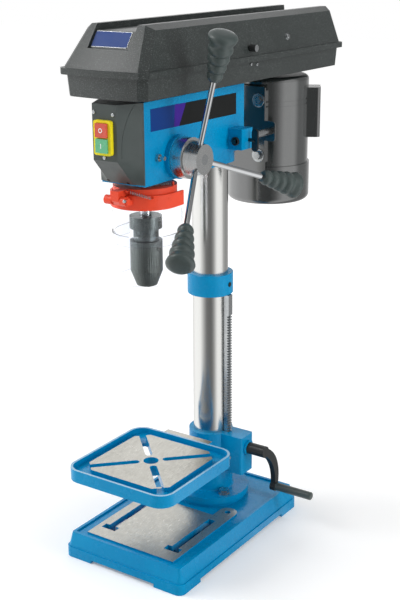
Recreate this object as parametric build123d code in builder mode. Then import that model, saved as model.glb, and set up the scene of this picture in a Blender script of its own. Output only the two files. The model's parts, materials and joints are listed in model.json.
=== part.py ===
from build123d import *
from math import asin, atan, cos, degrees, hypot, pi, radians, sin, sqrt, tan
import os

os.makedirs("parts", exist_ok=True)

# A bench drill press in millimetres.
# Origin: the column's axis at floor level. +Z up, -Y towards the operator, +X the feed handle side.

# Shared sizes and clearances
overrun = 20.0                      # how far every cut runs past the face it opens
body_gap = 0.3                      # air between pieces that move past each other
running_gap = 0.05                  # radial clearance of a running or sliding fit
tooth_thinning = 0.2                # metal taken off each flank of a tooth for backlash
throat = 176.0                      # column axis to spindle axis

# Column, its flange and the rack collar
column_radius = 30.0
column_wall = 3.0
column_top = 742.0
flange_radius = 66.0
flange_thickness = 11.0
flange_neck_radius = 38.0
flange_neck_top = 94.0
flange_fillet = 3.0
flange_bolt_circle = 51.0
flange_bolt_count = 3
flange_bolt_radius = 5.0
flange_bolt_head_radius = 9.2
flange_bolt_head_height = 6.5
flange_washer_radius = 9.7
flange_washer_thickness = 2.0
collar_radius = 38.5
collar_bottom = 412.0
collar_height = 36.0
set_screw_radius = 4.0
set_screw_proud = 1.0

# Base casting
base_width = 236.0
base_front = 262.0
base_rear = 102.0
base_height = 42.0
base_step_height = 18.0
base_step_ledge = 2.5
base_draft = 15.0
base_corner = 12.0
base_wall = 7.0
base_top_plate = 7.0
base_rim = 5.0
base_recess = 3.0
base_rib = 6.0
base_foot_length = 54.0
base_foot_height = 6.0
base_boss_height = 46.0
pad_half_width = 87.0
pad_front = 240.0
pad_rear = 78.0
pad_ear_centre_y = 56.0
pad_ear_centre_x = 71.0
pad_ear_radius = 16.0
bench_hole_radius = 5.0
slot_centre_x = 64.0
slot_width = 13.0
slot_front = 214.0
slot_rear = 93.0
slot_mouth_width = 28.0
slot_mouth_length = 13.0

# Rack and the teeth that run on it
tooth_module = 1.5
rack_width = 12.0
rack_thickness = 10.2
rack_plain_top = 34.0
pressure_angle = 20.0
dedendum_share = 1.2

# Table bracket with its worm and lifting gear
bracket_collar_radius = 38.0
bracket_bottom = 97.0
bracket_height = 68.0
gearbox_reach = 75.0
gearbox_half_width = 18.5
gearbox_fillet = 4.0
lift_gear_teeth = 14
lift_gear_width = 12.0
gear_pin_radius = 4.0
worm_pitch_radius = 8.0
worm_length = 15.0
worm_thread_height = 2.2
worm_thread_width = 1.2
worm_shaft_radius = 6.0
worm_axis_z = 143.0
crank_boss_radius = 13.0
crank_boss_length = 4.0
crank_hub_radius = 10.0
crank_hub_length = 24.0
crank_arm_length = 88.0
crank_arm_thickness = 9.0
crank_arm_root_width = 17.0
crank_arm_tip_width = 12.0
crank_arm_bow = 14.0
crank_angle = 25.0
crank_pivot_radius = 4.0
crank_grip_radius = 7.0
crank_grip_length = 70.0
clamp_ear_reach = 58.0
clamp_ear_half_width = 13.0
clamp_ear_bottom = 108.0
clamp_ear_height = 34.0
clamp_slit = 3.0
clamp_screw_radius = 5.0
clamp_lever_length = 50.0
clamp_lever_radius = 5.0
clamp_knob_radius = 9.0
tilt_axis_z = 126.0
tilt_boss_radius = 29.0
tilt_bolt_radius = 7.0
tilt_bolt_head_radius = 12.7
tilt_bolt_head_height = 9.0
tilt_joint_gap = 12.0                 # the table's rear edge to the joint face behind it
tilt_bolt_depth = 9.0                 # how deep the tilt bolt's shank starts in front of the column's wall

# Table
table_half = 100.0
table_corner = 26.0
table_rim_top = 171.0
table_rim_height = 21.0
table_rim_wall = 4.0
table_surface = 169.0
table_trough_floor = 161.0
table_floor_thickness = 6.0
table_land_margin = 20.0
table_land_chamfer = 20.0
table_hole_radius = 12.5
table_slot_width = 12.0
table_slot_start = 25.0
table_slot_end_margin = 1.0
table_slot_through = 22.0             # how far short of its end a slot stops being a through cut
table_lug_half_width = 46.0
table_lug_thickness = 11.0
table_lug_radius = 29.0
table_rib = 6.0

# Head casting
head_half_width = 40.0
head_front = 228.0
head_bottom = 635.0
head_top = 757.0
head_rear_flat = 40.0
head_rear_flat_bottom = 652.0
head_wall = 7.0
head_edge = 3.0
head_cavity_front = 124.0
head_cavity_rear = 44.0
head_cable_bay_depth = 21.0
feed_axis_z = 668.0
feed_boss_radius = 33.0
feed_boss_length = 8.0
spring_boss_radius = 31.0
spring_boss_length = 6.0
slide_block_reach = 66.0
slide_block_front = 8.0
slide_block_rear = 24.0
slide_block_bottom = 658.0
slide_block_height = 33.0
slide_block_edge = 2.5
slide_bar_x = 49.0
slide_bar_radius = 6.0
slide_bar_bore = 29.0
slide_bar_engaged = 17.0
slide_bar_z = 672.0
wing_y = 14.0
block_screw_x = 55.0
block_screw_depth = 2.5
block_screw_square = 7.0
head_screw_low_z = 702.0
head_screw_high_z = 730.0
quill_head_room = 2.0
pinion_room = 8.0
pan_pad_radius = 9.0
pan_pad_x = 24.0
pan_pad_front_y = 96.0
pan_pad_rear_y = 20.0
gib_screw_y = 198.0
gib_screw_z = 674.0
gib_screw_radius = 3.0
gib_nut_radius = 6.0
gib_nut_length = 5.0
gib_screw_proud = 14.0
head_screw_radius = 5.0

# Quill, spindle and chuck
quill_radius = 20.0
quill_bottom = 600.0
quill_top = 735.0
quill_travel = 60.0
quill_nose_radius = 25.0
quill_nose_height = 30.0
quill_rack_bottom = 648.0
quill_rack_teeth = 19
quill_rack_width = 16.0
pinion_teeth = 13
pinion_width = 14.0
quill_bearing_outer = 14.5
quill_bearing_height = 9.0
spindle_radius = 7.5
spindle_nose_radius = 9.0
spindle_spline_radius = 6.0
spindle_top = 848.0
sleeve_radius = 8.5
sleeve_bottom = 738.0
head_bearing_outer = 17.5
head_bearing_height = 14.0
chuck_top = 579.0
chuck_flange_radius = 25.0
chuck_flange_height = 19.0
chuck_neck_radius = 19.5
chuck_sleeve_top = 541.0
chuck_sleeve_radius = 25.0
chuck_taper_start = 493.0
chuck_nose = 470.0
chuck_nose_radius = 16.0
chuck_bore_radius = 10.5
jaw_radius = 3.2
jaw_length = 34.0
jaw_circle = 6.6
jaw_travel = 3.0
jaw_proud = 3.0

# Feed handle
hub_ring_radius = 31.0
hub_ring_length = 19.0
hub_cone_radius = 27.0
hub_face_radius = 22.5
hub_face_x = 90.0
hub_shaft_radius = 8.0
feed_journal_radius = 12.0
feed_journal_start = 13.0
left_journal_radius = 8.0
spring_stub_radius = 5.0
spoke_radius = 4.3
spoke_cone = 20.0
spoke_start_angle = -10.0
spoke_reach = 203.0
spoke_count = 3
grip_length = 74.0
grip_tip_radius = 14.5
knob_radius = 5.5
knob_length = 16.0
knob_reach = 62.0
knob_shank_radius = 3.0
knob_angle = -12.0
knob_offset = 2.0
spring_cap_radius = 28.0
spring_cap_depth = 20.0
spring_cap_wall = 2.0
spring_strip = 1.0
spring_turns = 5
spring_pitch = 3.9
spring_first_radius = 5.8
spoke_hub_x = 76.0
spoke_root = 14.0
grip_beads = 4
grip_bead_length = 15.5
grip_bead_growth = 0.9
grip_bead_swell = 2.0
grip_root_radius = 7.0
grip_cap_rise = 7.0
quill_rack_below = 4
quill_rack_phase = 0.0

# Chuck guard: a cup ring clamped on the quill, a band hinged in front of it, a clear shield
guard_clamp_radius = 29.0
guard_clamp_bottom = 613.0
guard_ring_radius = 48.5
guard_ring_bottom = 615.0
guard_ring_top = 628.0
guard_ring_wall = 2.5
guard_ring_plate = 3.0
guard_band_radius = 53.0
guard_band_wall = 3.0
guard_band_bottom = 597.0
guard_band_overlap = 4.0              # the band's top above the ring's lower edge
guard_band_straight = 26.0
guard_pivot_y = 64.0
guard_pivot_z = 613.0
guard_pin_radius = 3.0
guard_pin_left = 24.0
guard_pin_right = 15.0
guard_pin_head_radius = 5.0
guard_pin_head_length = 3.0
guard_knuckle_radius = 7.0
guard_lug_left = 9.7
guard_lug_right = 4.7
guard_peg_radius = 1.6
front_peg_angle = 10.0
front_peg_reach = 56.0
front_peg_drop = 1.7
band_peg_angle = 48.0
band_peg_reach = 62.5
band_peg_drop = 2.0
top_peg_x = 45.0
top_peg_y = -10.0
far_peg_x = 20.0
far_peg_y = 29.0
top_peg_height = 6.0
shield_wall = 2.0
shield_bottom = 540.0
extension_top = 556.0
extension_bottom = 480.0
extension_travel = 30.0
guard_spring_radius = 2.1
guard_spring_wire = 0.5
guard_spring_turns = 12

# Belt housing
pan_bottom = 764.4
pan_half_width = 70.7
pan_front = 273.0
pan_rear = 303.0
pan_wall = 2.5
pan_top = 796.0
pan_flare = 2.0
pan_sleeve_hole = 22.0
pan_motor_slot = 30.0
hinge_arm_drop = 14.0
hinge_arm_wall = 2.0
lid_lip_bottom = 795.5
lid_lip_top = 804.6
lid_lip_half = 79.5
lid_lip_front = 281.0
lid_lip_rear = 311.0
lid_lip_wall = 4.0
lid_top = 864.6
lid_top_half = 58.6
lid_top_front = 234.0
lid_top_rear = 296.0
lid_wall = 2.5
lid_bow = 4.0
lid_corner = 11.0
lid_bevel_width = 12.0
lid_bevel_drop = 6.0
lid_channel_half = 36.5
lid_channel_depth = 9.0
lid_channel_foot = 832.0
lid_channel_front_depth = 7.0
hinge_offset = 3.5
hinge_z = 800.0
hinge_pin_radius = 1.6
hinge_knuckle_radius = 3.2
hinge_knuckle_length = 14.0
hinge_places = (-150.0, 190.0)
catch_y = 5.0
catch_z = 816.5
catch_screw_radius = 3.0
catch_head_radius = 5.5
catch_head_length = 11.0

# Pulleys and belts
pulley_base_z = 782.0
pulley_step = 13.0
pulley_steps = 4
spindle_pulley_radius = 60.0
motor_pulley_radius = 50.0
idler_pulley_radius = 30.0
pulley_radius_change = 10.0
pulley_rim = 2.5
pulley_groove_depth = 7.0
pulley_hub_radius = 14.0
belt_width = 9.0
belt_inner_width = 5.6
belt_height = 6.0
belt_groove_gap = 0.35
front_belt_step_count = 1             # how many steps up the front belt runs
rear_belt_step_count = 2              # how many steps up the rear belt runs
idler_y = 5.0
idler_pin_radius = 6.0
idler_pivot_x = 30.0
idler_pivot_y = -30.0
idler_pivot_radius = 5.0
idler_arm_thickness = 5.0
idler_arm_width = 22.0
idler_pivot_depth = 14.0

# Motor
motor_y = 186.0
motor_radius = 68.5
motor_bottom = 603.0
motor_top = 756.0
motor_bell_height = 22.0
motor_bell_inset = 1.5
cowl_radius = 71.5
cowl_bottom = 540.0
cowl_height = 66.0
cowl_wall = 2.0
cowl_fillet = 10.0
motor_plate_y = 103.0
motor_plate_thickness = 4.0
motor_plate_half_width = 41.0
motor_plate_bottom = 598.0
motor_plate_top = 744.0
motor_foot_half_width = 34.0
motor_bolt_x = 29.0
motor_bolt_low_z = 630.0
motor_bolt_high_z = 722.0
motor_bolt_radius = 4.0
motor_bolt_head_radius = 7.4
motor_bolt_head_height = 5.5
motor_slot_length = 22.0
motor_shoulder = 8.0
motor_foot_reach = 14.0
motor_grooves = (708.0, 716.0)
motor_groove_width = 2.0
motor_groove_depth = 1.0
motor_rotor_depth = 30.0
motor_bolt_reach = 10.0
motor_washer_thickness = 1.5
cowl_slot_circle = 36.0
cowl_slot_count = 12
cowl_slot_length = 36.0
cowl_slot_width = 5.0
capacitor_angle = 30.0
capacitor_edge = 6.0
capacitor_length = 85.0
capacitor_bottom = 650.0
capacitor_width = 42.0
capacitor_depth = 20.0
rotor_radius = 8.0
wing_shank_radius = 3.0
wing_shank_length = 18.0
wing_height = 36.0
wing_width = 11.0
wing_thickness = 3.5
wing_stand = 6.0

# Switch box
switch_front = 268.0
switch_face_half = 22.0
switch_side_depth = 4.0
switch_face_bottom = 676.0
switch_side_foot = 2.0
switch_bottom = 638.0
switch_chin_y = 234.0
switch_wall = 2.5
switch_centre_z = 710.0
switch_frame_width = 31.0
switch_frame_height = 50.0
switch_frame_proud = 6.0
switch_frame_wall = 4.0
button_width = 20.0
button_height = 20.0
button_gap = 2.0
button_proud = 4.0
button_travel = 3.0

# Sizes worked out from the ones above
tooth_pitch = pi * tooth_module
flange_seat = base_boss_height
flange_top = flange_seat + flange_thickness
rack_back = column_radius + body_gap
rack_face = rack_back + rack_thickness
rack_bottom = flange_neck_top + body_gap
rack_top = collar_bottom - body_gap
rack_pitch_line = rack_face - tooth_module
lift_gear_radius = lift_gear_teeth * tooth_module / 2
lift_gear_x = rack_pitch_line + lift_gear_radius
lift_gear_z = worm_axis_z - worm_pitch_radius - lift_gear_radius
bracket_top = bracket_bottom + bracket_height
quill_pitch_line = quill_radius - tooth_module
pinion_radius = pinion_teeth * tooth_module / 2
feed_axis_y = -throat + quill_pitch_line + pinion_radius
tilt_joint_y = throat - table_half - tilt_joint_gap
table_land_half = table_half - table_land_margin
table_slot_end = table_half + table_slot_end_margin
guard_clamp_height = guard_ring_top - guard_clamp_bottom
guard_band_top = guard_ring_bottom + guard_band_overlap
front_peg_z = guard_ring_top - front_peg_drop
band_peg_z = guard_band_top - band_peg_drop

spindle_plane = Plane(origin=(0, -throat, 0), x_dir=(1, 0, 0), z_dir=(0, -1, 0))
spindle_axis = Axis((0, -throat, 0), (0, 0, 1))
column_plane = Plane(origin=(0, 0, 0), x_dir=(1, 0, 0), z_dir=(0, -1, 0))
idler_plane = Plane(origin=(0, idler_y, 0), x_dir=(1, 0, 0), z_dir=(0, -1, 0))
idler_axis = Axis((0, idler_y, 0), (0, 0, 1))
motor_plane = Plane(origin=(0, motor_y, 0), x_dir=(1, 0, 0), z_dir=(0, -1, 0))
motor_axis = Axis((0, motor_y, 0), (0, 0, 1))
feed_plane = Plane(origin=(0, feed_axis_y, feed_axis_z), x_dir=(1, 0, 0), z_dir=(0, -1, 0))
feed_axis = Axis((0, feed_axis_y, feed_axis_z), (1, 0, 0))
worm_plane = Plane(origin=(0, 0, worm_axis_z), x_dir=(1, 0, 0), z_dir=(0, -1, 0))
worm_axis = Axis((0, 0, worm_axis_z), (1, 0, 0))


def side_plane(x):
    """A sketch plane that faces +X, with local x along +Y and local y along +Z."""
    return Plane.YZ.offset(x)


def front_plane(y):
    """A sketch plane that faces -Y, with local x along +X and local y along +Z."""
    return Plane.XZ.offset(-y)


def turned(profile, plane, axis):
    """A solid of revolution from a closed outline of (radius, height) points."""
    with BuildPart() as solid:
        with BuildSketch(plane):
            with BuildLine():
                Polyline(*profile, close=True)
            make_face()
        revolve(axis=axis)
    return solid


def tooth_points(pitch_radius, half_thickness):
    """One gear tooth pointing along local -x, from below the root to the tip."""
    addendum = tooth_module
    dedendum = tooth_module * dedendum_share
    slope = tan(radians(pressure_angle))
    root = pitch_radius - dedendum - tooth_module / 2
    tip = pitch_radius + addendum
    root_half = half_thickness + dedendum * slope / 2
    tip_half = half_thickness - addendum * slope * 1.15
    return [
        (-root, root_half),
        (-(pitch_radius - dedendum / 2), root_half),
        (-pitch_radius, half_thickness),
        (-tip, tip_half),
        (-tip, -tip_half),
        (-pitch_radius, -half_thickness),
        (-(pitch_radius - dedendum / 2), -root_half),
        (-root, -root_half),
    ]


def rack_gap_points(depth_sign):
    """The gap between two rack teeth: (distance outwards from the pitch line, along)."""
    half = tooth_pitch / 4 + tooth_thinning
    slope = tan(radians(pressure_angle))
    out = tooth_module + overrun / 4
    root = tooth_module * dedendum_share + body_gap / 2
    return [
        (-depth_sign * root, half - root * slope),
        (depth_sign * out, half + out * slope),
        (depth_sign * out, -half - out * slope),
        (-depth_sign * root, -half + root * slope),
    ]


# Base casting: stepped skirt on four corner feet, rimmed top, machined land with two T slots
base_length = base_front + base_rear
base_centre_y = (base_rear - base_front) / 2
base_floor = base_height - base_recess
base_top_inset = base_step_ledge + (base_height - base_step_height) * tan(radians(base_draft))
base_ceiling = base_floor - base_top_plate
base_cell_x = base_width / 3 / 2
base_cross_ribs = 4

with BuildPart() as base:
    with BuildSketch():
        with Locations((0, base_centre_y)):
            RectangleRounded(base_width, base_length, base_corner)
    extrude(amount=base_step_height)
    with BuildSketch(Plane.XY.offset(base_step_height)):
        with Locations((0, base_centre_y)):
            RectangleRounded(
                base_width - 2 * base_step_ledge,
                base_length - 2 * base_step_ledge,
                base_corner - base_step_ledge,
            )
    extrude(amount=base_height - base_step_height, taper=base_draft)
    with BuildSketch(Plane.XY.offset(base_floor)):
        with Locations((0, base_centre_y)):
            Rectangle(
                base_width - 2 * base_top_inset - 2 * base_rim,
                base_length - 2 * base_top_inset - 2 * base_rim,
            )
    extrude(amount=overrun, mode=Mode.SUBTRACT)
    with BuildSketch(Plane.XY.offset(base_floor)):
        with Locations((0, -(pad_front + pad_rear) / 2)):
            Rectangle(2 * pad_half_width, pad_front - pad_rear)
        for side in (-1, 1):
            with Locations((side * pad_ear_centre_x, -(pad_rear + pad_ear_centre_y) / 2)):
                Rectangle(2 * pad_ear_radius, pad_rear - pad_ear_centre_y)
            with Locations((side * pad_ear_centre_x, -pad_ear_centre_y)):
                Circle(pad_ear_radius)
    extrude(amount=base_recess)
    with BuildSketch(Plane.XY.offset(base_floor)):
        Circle(flange_radius - base_rim)
    extrude(amount=base_boss_height - base_floor)
    with BuildSketch():
        with Locations((0, base_centre_y)):
            RectangleRounded(
                base_width - 2 * base_wall, base_length - 2 * base_wall, base_corner - base_wall / 2
            )
    extrude(amount=base_ceiling, taper=base_draft, mode=Mode.SUBTRACT)
    with BuildSketch(Plane.XY.offset(base_foot_height)):
        with Locations((-base_cell_x, base_centre_y), (base_cell_x, base_centre_y)):
            Rectangle(base_rib, base_length - 2 * base_wall)
        with Locations((0, base_centre_y)):
            with GridLocations(0, base_length / (base_cross_ribs + 1), 1, base_cross_ribs):
                Rectangle(base_width - 2 * base_wall, base_rib)
    extrude(amount=base_ceiling - base_foot_height)
    with BuildSketch():
        with Locations((0, base_centre_y)):
            Rectangle(base_width - 2 * base_foot_length, base_length + overrun)
            Rectangle(base_width + overrun, base_length - 2 * base_foot_length)
    extrude(amount=base_foot_height, mode=Mode.SUBTRACT)
    with BuildSketch(Plane.XY.offset(-overrun)):
        for side in (-1, 1):
            with Locations((side * slot_centre_x, -(slot_front + slot_rear) / 2)):
                Rectangle(slot_width, slot_front - slot_rear)
            with Locations((side * slot_centre_x, -(slot_front - slot_mouth_length / 2))):
                Rectangle(slot_mouth_width, slot_mouth_length)
            with Locations((side * pad_ear_centre_x, -pad_ear_centre_y)):
                Circle(bench_hole_radius)
        with PolarLocations(flange_bolt_circle, flange_bolt_count, start_angle=90):
            Circle(flange_bolt_radius)
    extrude(amount=base_boss_height + 2 * overrun, mode=Mode.SUBTRACT)

base.part.label = "base"
export_step(base.part, "parts/base.step")

# Column flange: bolted disc with a neck that holds the column
column_flange_profile = [
    (column_radius, flange_seat),
    (flange_radius, flange_seat),
    (flange_radius, flange_top),
    (flange_neck_radius, flange_top),
    (flange_neck_radius, flange_neck_top),
    (column_radius, flange_neck_top),
]
with BuildPart() as column_flange:
    with BuildSketch(column_plane):
        with BuildLine():
            Polyline(*column_flange_profile, close=True)
        make_face()
    revolve(axis=Axis.Z)
    neck_root = column_flange.edges().filter_by(GeomType.CIRCLE).group_by(Axis.Z)[1]
    fillet(neck_root.filter_by(lambda edge: abs(edge.radius - flange_neck_radius) < running_gap), flange_fillet)
    with BuildSketch(Plane.XY.offset(flange_seat)):
        with PolarLocations(flange_bolt_circle, flange_bolt_count, start_angle=90):
            Circle(flange_bolt_radius)
    extrude(amount=flange_thickness, mode=Mode.SUBTRACT)

column_flange.part.label = "column_flange"
export_step(column_flange.part, "parts/column_flange.step")

# Three hexagon bolts with washers, down through the base's top plate
flange_bolt_foot = base_ceiling - base_recess
with BuildPart() as flange_bolts:
    with BuildSketch(Plane.XY.offset(flange_bolt_foot)):
        with PolarLocations(flange_bolt_circle, flange_bolt_count, start_angle=90):
            Circle(flange_bolt_radius)
    extrude(amount=flange_top - flange_bolt_foot)
    with BuildSketch(Plane.XY.offset(flange_top)):
        with PolarLocations(flange_bolt_circle, flange_bolt_count, start_angle=90):
            Circle(flange_washer_radius)
    extrude(amount=flange_washer_thickness)
    with BuildSketch(Plane.XY.offset(flange_top + flange_washer_thickness)):
        with PolarLocations(flange_bolt_circle, flange_bolt_count, start_angle=90):
            RegularPolygon(flange_bolt_head_radius, 6)
    extrude(amount=flange_bolt_head_height)

flange_bolts.part.label = "flange_bolts"
export_step(flange_bolts.part, "parts/flange_bolts.step")

# Column tube
with BuildPart() as column:
    with BuildSketch(Plane.XY.offset(flange_seat)):
        Circle(column_radius)
        Circle(column_radius - column_wall, mode=Mode.SUBTRACT)
    extrude(amount=column_top - flange_seat)

column.part.label = "column"
export_step(column.part, "parts/column.step")

# Collar that keeps the rack down, bored for its set screw
collar_screw_z = collar_bottom + collar_height / 2
with BuildPart() as rack_collar:
    with BuildSketch(Plane.XY.offset(collar_bottom)):
        Circle(collar_radius)
        Circle(column_radius, mode=Mode.SUBTRACT)
    extrude(amount=collar_height)
    outer_rims = rack_collar.edges().filter_by(GeomType.CIRCLE).sort_by(SortBy.RADIUS)[-2:]
    fillet(outer_rims, set_screw_proud)
    with BuildSketch(side_plane(column_radius - column_wall)):
        with Locations((0, collar_screw_z)):
            Circle(set_screw_radius)
    extrude(amount=overrun, mode=Mode.SUBTRACT)

rack_collar.part.label = "rack_collar"
export_step(rack_collar.part, "parts/rack_collar.step")

# Rack: a toothed bar that stands on the flange neck against the column
rack_gap_first = lift_gear_z - tooth_pitch * int((lift_gear_z - rack_bottom - tooth_pitch) / tooth_pitch)
rack_gap_count = int((rack_top - rack_plain_top - rack_gap_first) / tooth_pitch) + 1
with BuildPart() as rack:
    with BuildSketch(Plane.XY.offset(rack_bottom)):
        with Locations(((rack_back + rack_face) / 2, 0)):
            Rectangle(rack_thickness, rack_width)
    extrude(amount=rack_top - rack_bottom)
    with BuildSketch(front_plane(0)):
        for gap in range(rack_gap_count):
            with Locations((rack_pitch_line, rack_gap_first + gap * tooth_pitch)):
                Polygon(*rack_gap_points(1), align=None)
    extrude(amount=rack_width, both=True, mode=Mode.SUBTRACT)

rack.part.label = "rack"
export_step(rack.part, "parts/rack.step")

# Table bracket: split collar, gearbox on the right, tilt boss in front, clamp ears behind
gearbox_cavity_right = lift_gear_x + lift_gear_radius + tooth_module + body_gap * 5
gearbox_cavity_half = worm_pitch_radius + running_gap * 20
gearbox_cavity_bottom = lift_gear_z - lift_gear_radius - tooth_module - body_gap * 3
gearbox_cavity_top = worm_axis_z + worm_pitch_radius + tooth_module
clamp_screw_y = (column_radius + clamp_ear_reach) / 2 + worm_thread_height * 2
clamp_screw_z = clamp_ear_bottom + clamp_ear_height / 2
with BuildPart() as table_bracket:
    with BuildSketch(Plane.XY.offset(bracket_bottom)):
        Circle(bracket_collar_radius)
        with Locations((gearbox_reach / 2, 0)):
            Rectangle(gearbox_reach, 2 * gearbox_half_width)
    extrude(amount=bracket_height)
    gearbox_edges = table_bracket.edges().filter_by(Axis.Z).sort_by(Axis.X)[-2:]
    fillet(gearbox_edges, gearbox_fillet)
    with BuildSketch(Plane.XY.offset(clamp_ear_bottom)):
        with Locations((0, clamp_ear_reach / 2)):
            Rectangle(2 * clamp_ear_half_width, clamp_ear_reach)
    extrude(amount=clamp_ear_height)
    with BuildSketch(front_plane(0)):
        with Locations((0, tilt_axis_z)):
            Circle(tilt_boss_radius)
    extrude(amount=tilt_joint_y)
    with BuildSketch(side_plane(gearbox_reach - overrun / 2)):
        with Locations((0, worm_axis_z)):
            Circle(crank_boss_radius)
    extrude(amount=overrun / 2 + crank_boss_length)
    with BuildSketch(Plane.XY.offset(bracket_bottom - overrun)):
        Circle(column_radius + running_gap)
        with Locations(((rack_face + body_gap) / 2, 0)):
            Rectangle(rack_face + body_gap, rack_width + 2 * body_gap)
        with Locations((0, clamp_ear_reach / 2 + overrun / 2)):
            Rectangle(clamp_slit, clamp_ear_reach + overrun)
    extrude(amount=bracket_height + 2 * overrun, mode=Mode.SUBTRACT)
    with BuildSketch(Plane.XY.offset(gearbox_cavity_bottom)):
        with Locations((gearbox_cavity_right / 2, 0)):
            Rectangle(gearbox_cavity_right, 2 * gearbox_cavity_half)
    extrude(amount=gearbox_cavity_top - gearbox_cavity_bottom, mode=Mode.SUBTRACT)
    with BuildSketch(side_plane(lift_gear_x)):
        with Locations((0, worm_axis_z)):
            Circle(worm_shaft_radius + running_gap)
    extrude(amount=gearbox_reach, mode=Mode.SUBTRACT)
    with BuildSketch(front_plane(gearbox_half_width + overrun)):
        with Locations((lift_gear_x, lift_gear_z)):
            Circle(gear_pin_radius)
    extrude(amount=2 * gearbox_half_width + 2 * overrun, mode=Mode.SUBTRACT)
    with BuildSketch(side_plane(-clamp_ear_half_width - overrun)):
        with Locations((clamp_screw_y, clamp_screw_z)):
            Circle(clamp_screw_radius + running_gap)
    extrude(amount=2 * clamp_ear_half_width + 2 * overrun, mode=Mode.SUBTRACT)
    with BuildSketch(front_plane(-column_radius)):
        with Locations((0, tilt_axis_z)):
            Circle(tilt_bolt_radius)
    extrude(amount=tilt_joint_y, mode=Mode.SUBTRACT)

table_bracket.part.label = "table_bracket"
export_step(table_bracket.part, "parts/table_bracket.step")

# Pin that carries the lifting gear across the gearbox
with BuildPart() as gear_pin:
    with BuildSketch(front_plane(gearbox_half_width)):
        with Locations((lift_gear_x, lift_gear_z)):
            Circle(gear_pin_radius)
    extrude(amount=2 * gearbox_half_width)

gear_pin.part.label = "gear_pin"
export_step(gear_pin.part, "parts/gear_pin.step")

# Lifting gear: meshes with the rack on one side and the worm above
with BuildPart() as lift_gear:
    with BuildSketch(front_plane(lift_gear_width / 2)):
        with Locations((lift_gear_x, lift_gear_z)):
            Circle(lift_gear_radius - tooth_module * dedendum_share)
            with PolarLocations(0, lift_gear_teeth):
                Polygon(*tooth_points(lift_gear_radius, tooth_pitch / 4 - tooth_thinning), align=None)
            Circle(gear_pin_radius + running_gap, mode=Mode.SUBTRACT)
    extrude(amount=lift_gear_width)

lift_gear.part.label = "lift_gear"
export_step(lift_gear.part, "parts/lift_gear.step")

# Worm shaft: two-start thread over the lifting gear, journal through the gearbox wall
worm_lead = 2 * tooth_pitch
worm_thread_run = 3 * tooth_pitch
worm_core = worm_pitch_radius - tooth_module * dedendum_share - running_gap
worm_thread_start = lift_gear_x - worm_thread_run / 2
crank_hub_x = gearbox_reach + crank_boss_length + body_gap
crank_hub_end = crank_hub_x + crank_hub_length
with BuildPart() as worm_thread:
    with BuildLine() as thread_line:
        Helix(
            pitch=worm_lead,
            height=worm_thread_run,
            radius=worm_core,
            center=(worm_thread_start, 0, worm_axis_z),
            direction=(1, 0, 0),
        )
    with BuildSketch(Plane(origin=thread_line.line @ 0, x_dir=(0, 0, 1), z_dir=thread_line.line % 0)):
        with Locations(((worm_thread_height - worm_thread_width) / 2, 0)):
            Rectangle(worm_thread_height + worm_thread_width, worm_thread_width)
    sweep(is_frenet=True)

with BuildPart() as worm_shaft:
    add(worm_thread.part.rotate(worm_axis, -90))
    add(worm_thread.part.rotate(worm_axis, 90))
    with BuildSketch(side_plane(lift_gear_x - worm_length / 2)):
        with Locations((0, worm_axis_z)):
            Circle(worm_core)
    extrude(amount=worm_length)
    with BuildSketch(side_plane(lift_gear_x + worm_length / 2)):
        with Locations((0, worm_axis_z)):
            Circle(worm_shaft_radius)
    extrude(amount=crank_hub_end - lift_gear_x - worm_length / 2)

worm_shaft.part.label = "worm_shaft"
export_step(worm_shaft.part, "parts/worm_shaft.step")

# Crank: hub on the worm shaft, bowed arm, pivot pin for the grip
crank_direction = (sin(radians(crank_angle)), -cos(radians(crank_angle)))
crank_normal = (cos(radians(crank_angle)), sin(radians(crank_angle)))
crank_pivot_y = crank_arm_length * crank_direction[0]
crank_pivot_z = worm_axis_z + crank_arm_length * crank_direction[1]


def crank_point(along_share, across):
    """A point on the crank arm: share of its length, distance across it."""
    along = crank_arm_length * along_share
    return (
        along * crank_direction[0] + across * crank_normal[0],
        worm_axis_z + along * crank_direction[1] + across * crank_normal[1],
    )


with BuildPart() as crank_arm:
    with BuildSketch(side_plane(crank_hub_x)):
        with Locations((0, worm_axis_z)):
            Circle(crank_hub_radius)
            Circle(worm_shaft_radius, mode=Mode.SUBTRACT)
    extrude(amount=crank_hub_length)
    with BuildSketch(side_plane(crank_hub_end)):
        with BuildLine():
            ThreePointArc(
                crank_point(0, crank_arm_root_width / 2),
                crank_point(0.5, crank_arm_bow + crank_arm_root_width / 2),
                crank_point(1, crank_arm_tip_width / 2),
            )
            Line(crank_point(1, crank_arm_tip_width / 2), crank_point(1, -crank_arm_tip_width / 2))
            ThreePointArc(
                crank_point(1, -crank_arm_tip_width / 2),
                crank_point(0.5, crank_arm_bow - crank_arm_tip_width / 2),
                crank_point(0, -crank_arm_root_width / 2),
            )
            Line(crank_point(0, -crank_arm_root_width / 2), crank_point(0, crank_arm_root_width / 2))
        make_face()
        with Locations((0, worm_axis_z)):
            Circle(crank_hub_radius)
        with Locations((crank_pivot_y, crank_pivot_z)):
            Circle(crank_arm_root_width / 2)
    extrude(amount=crank_arm_thickness)
    with BuildSketch(side_plane(crank_hub_end + crank_arm_thickness)):
        with Locations((crank_pivot_y, crank_pivot_z)):
            Circle(crank_pivot_radius)
    extrude(amount=crank_grip_length - crank_grip_radius)

crank_arm.part.label = "crank_arm"
export_step(crank_arm.part, "parts/crank_arm.step")

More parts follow.
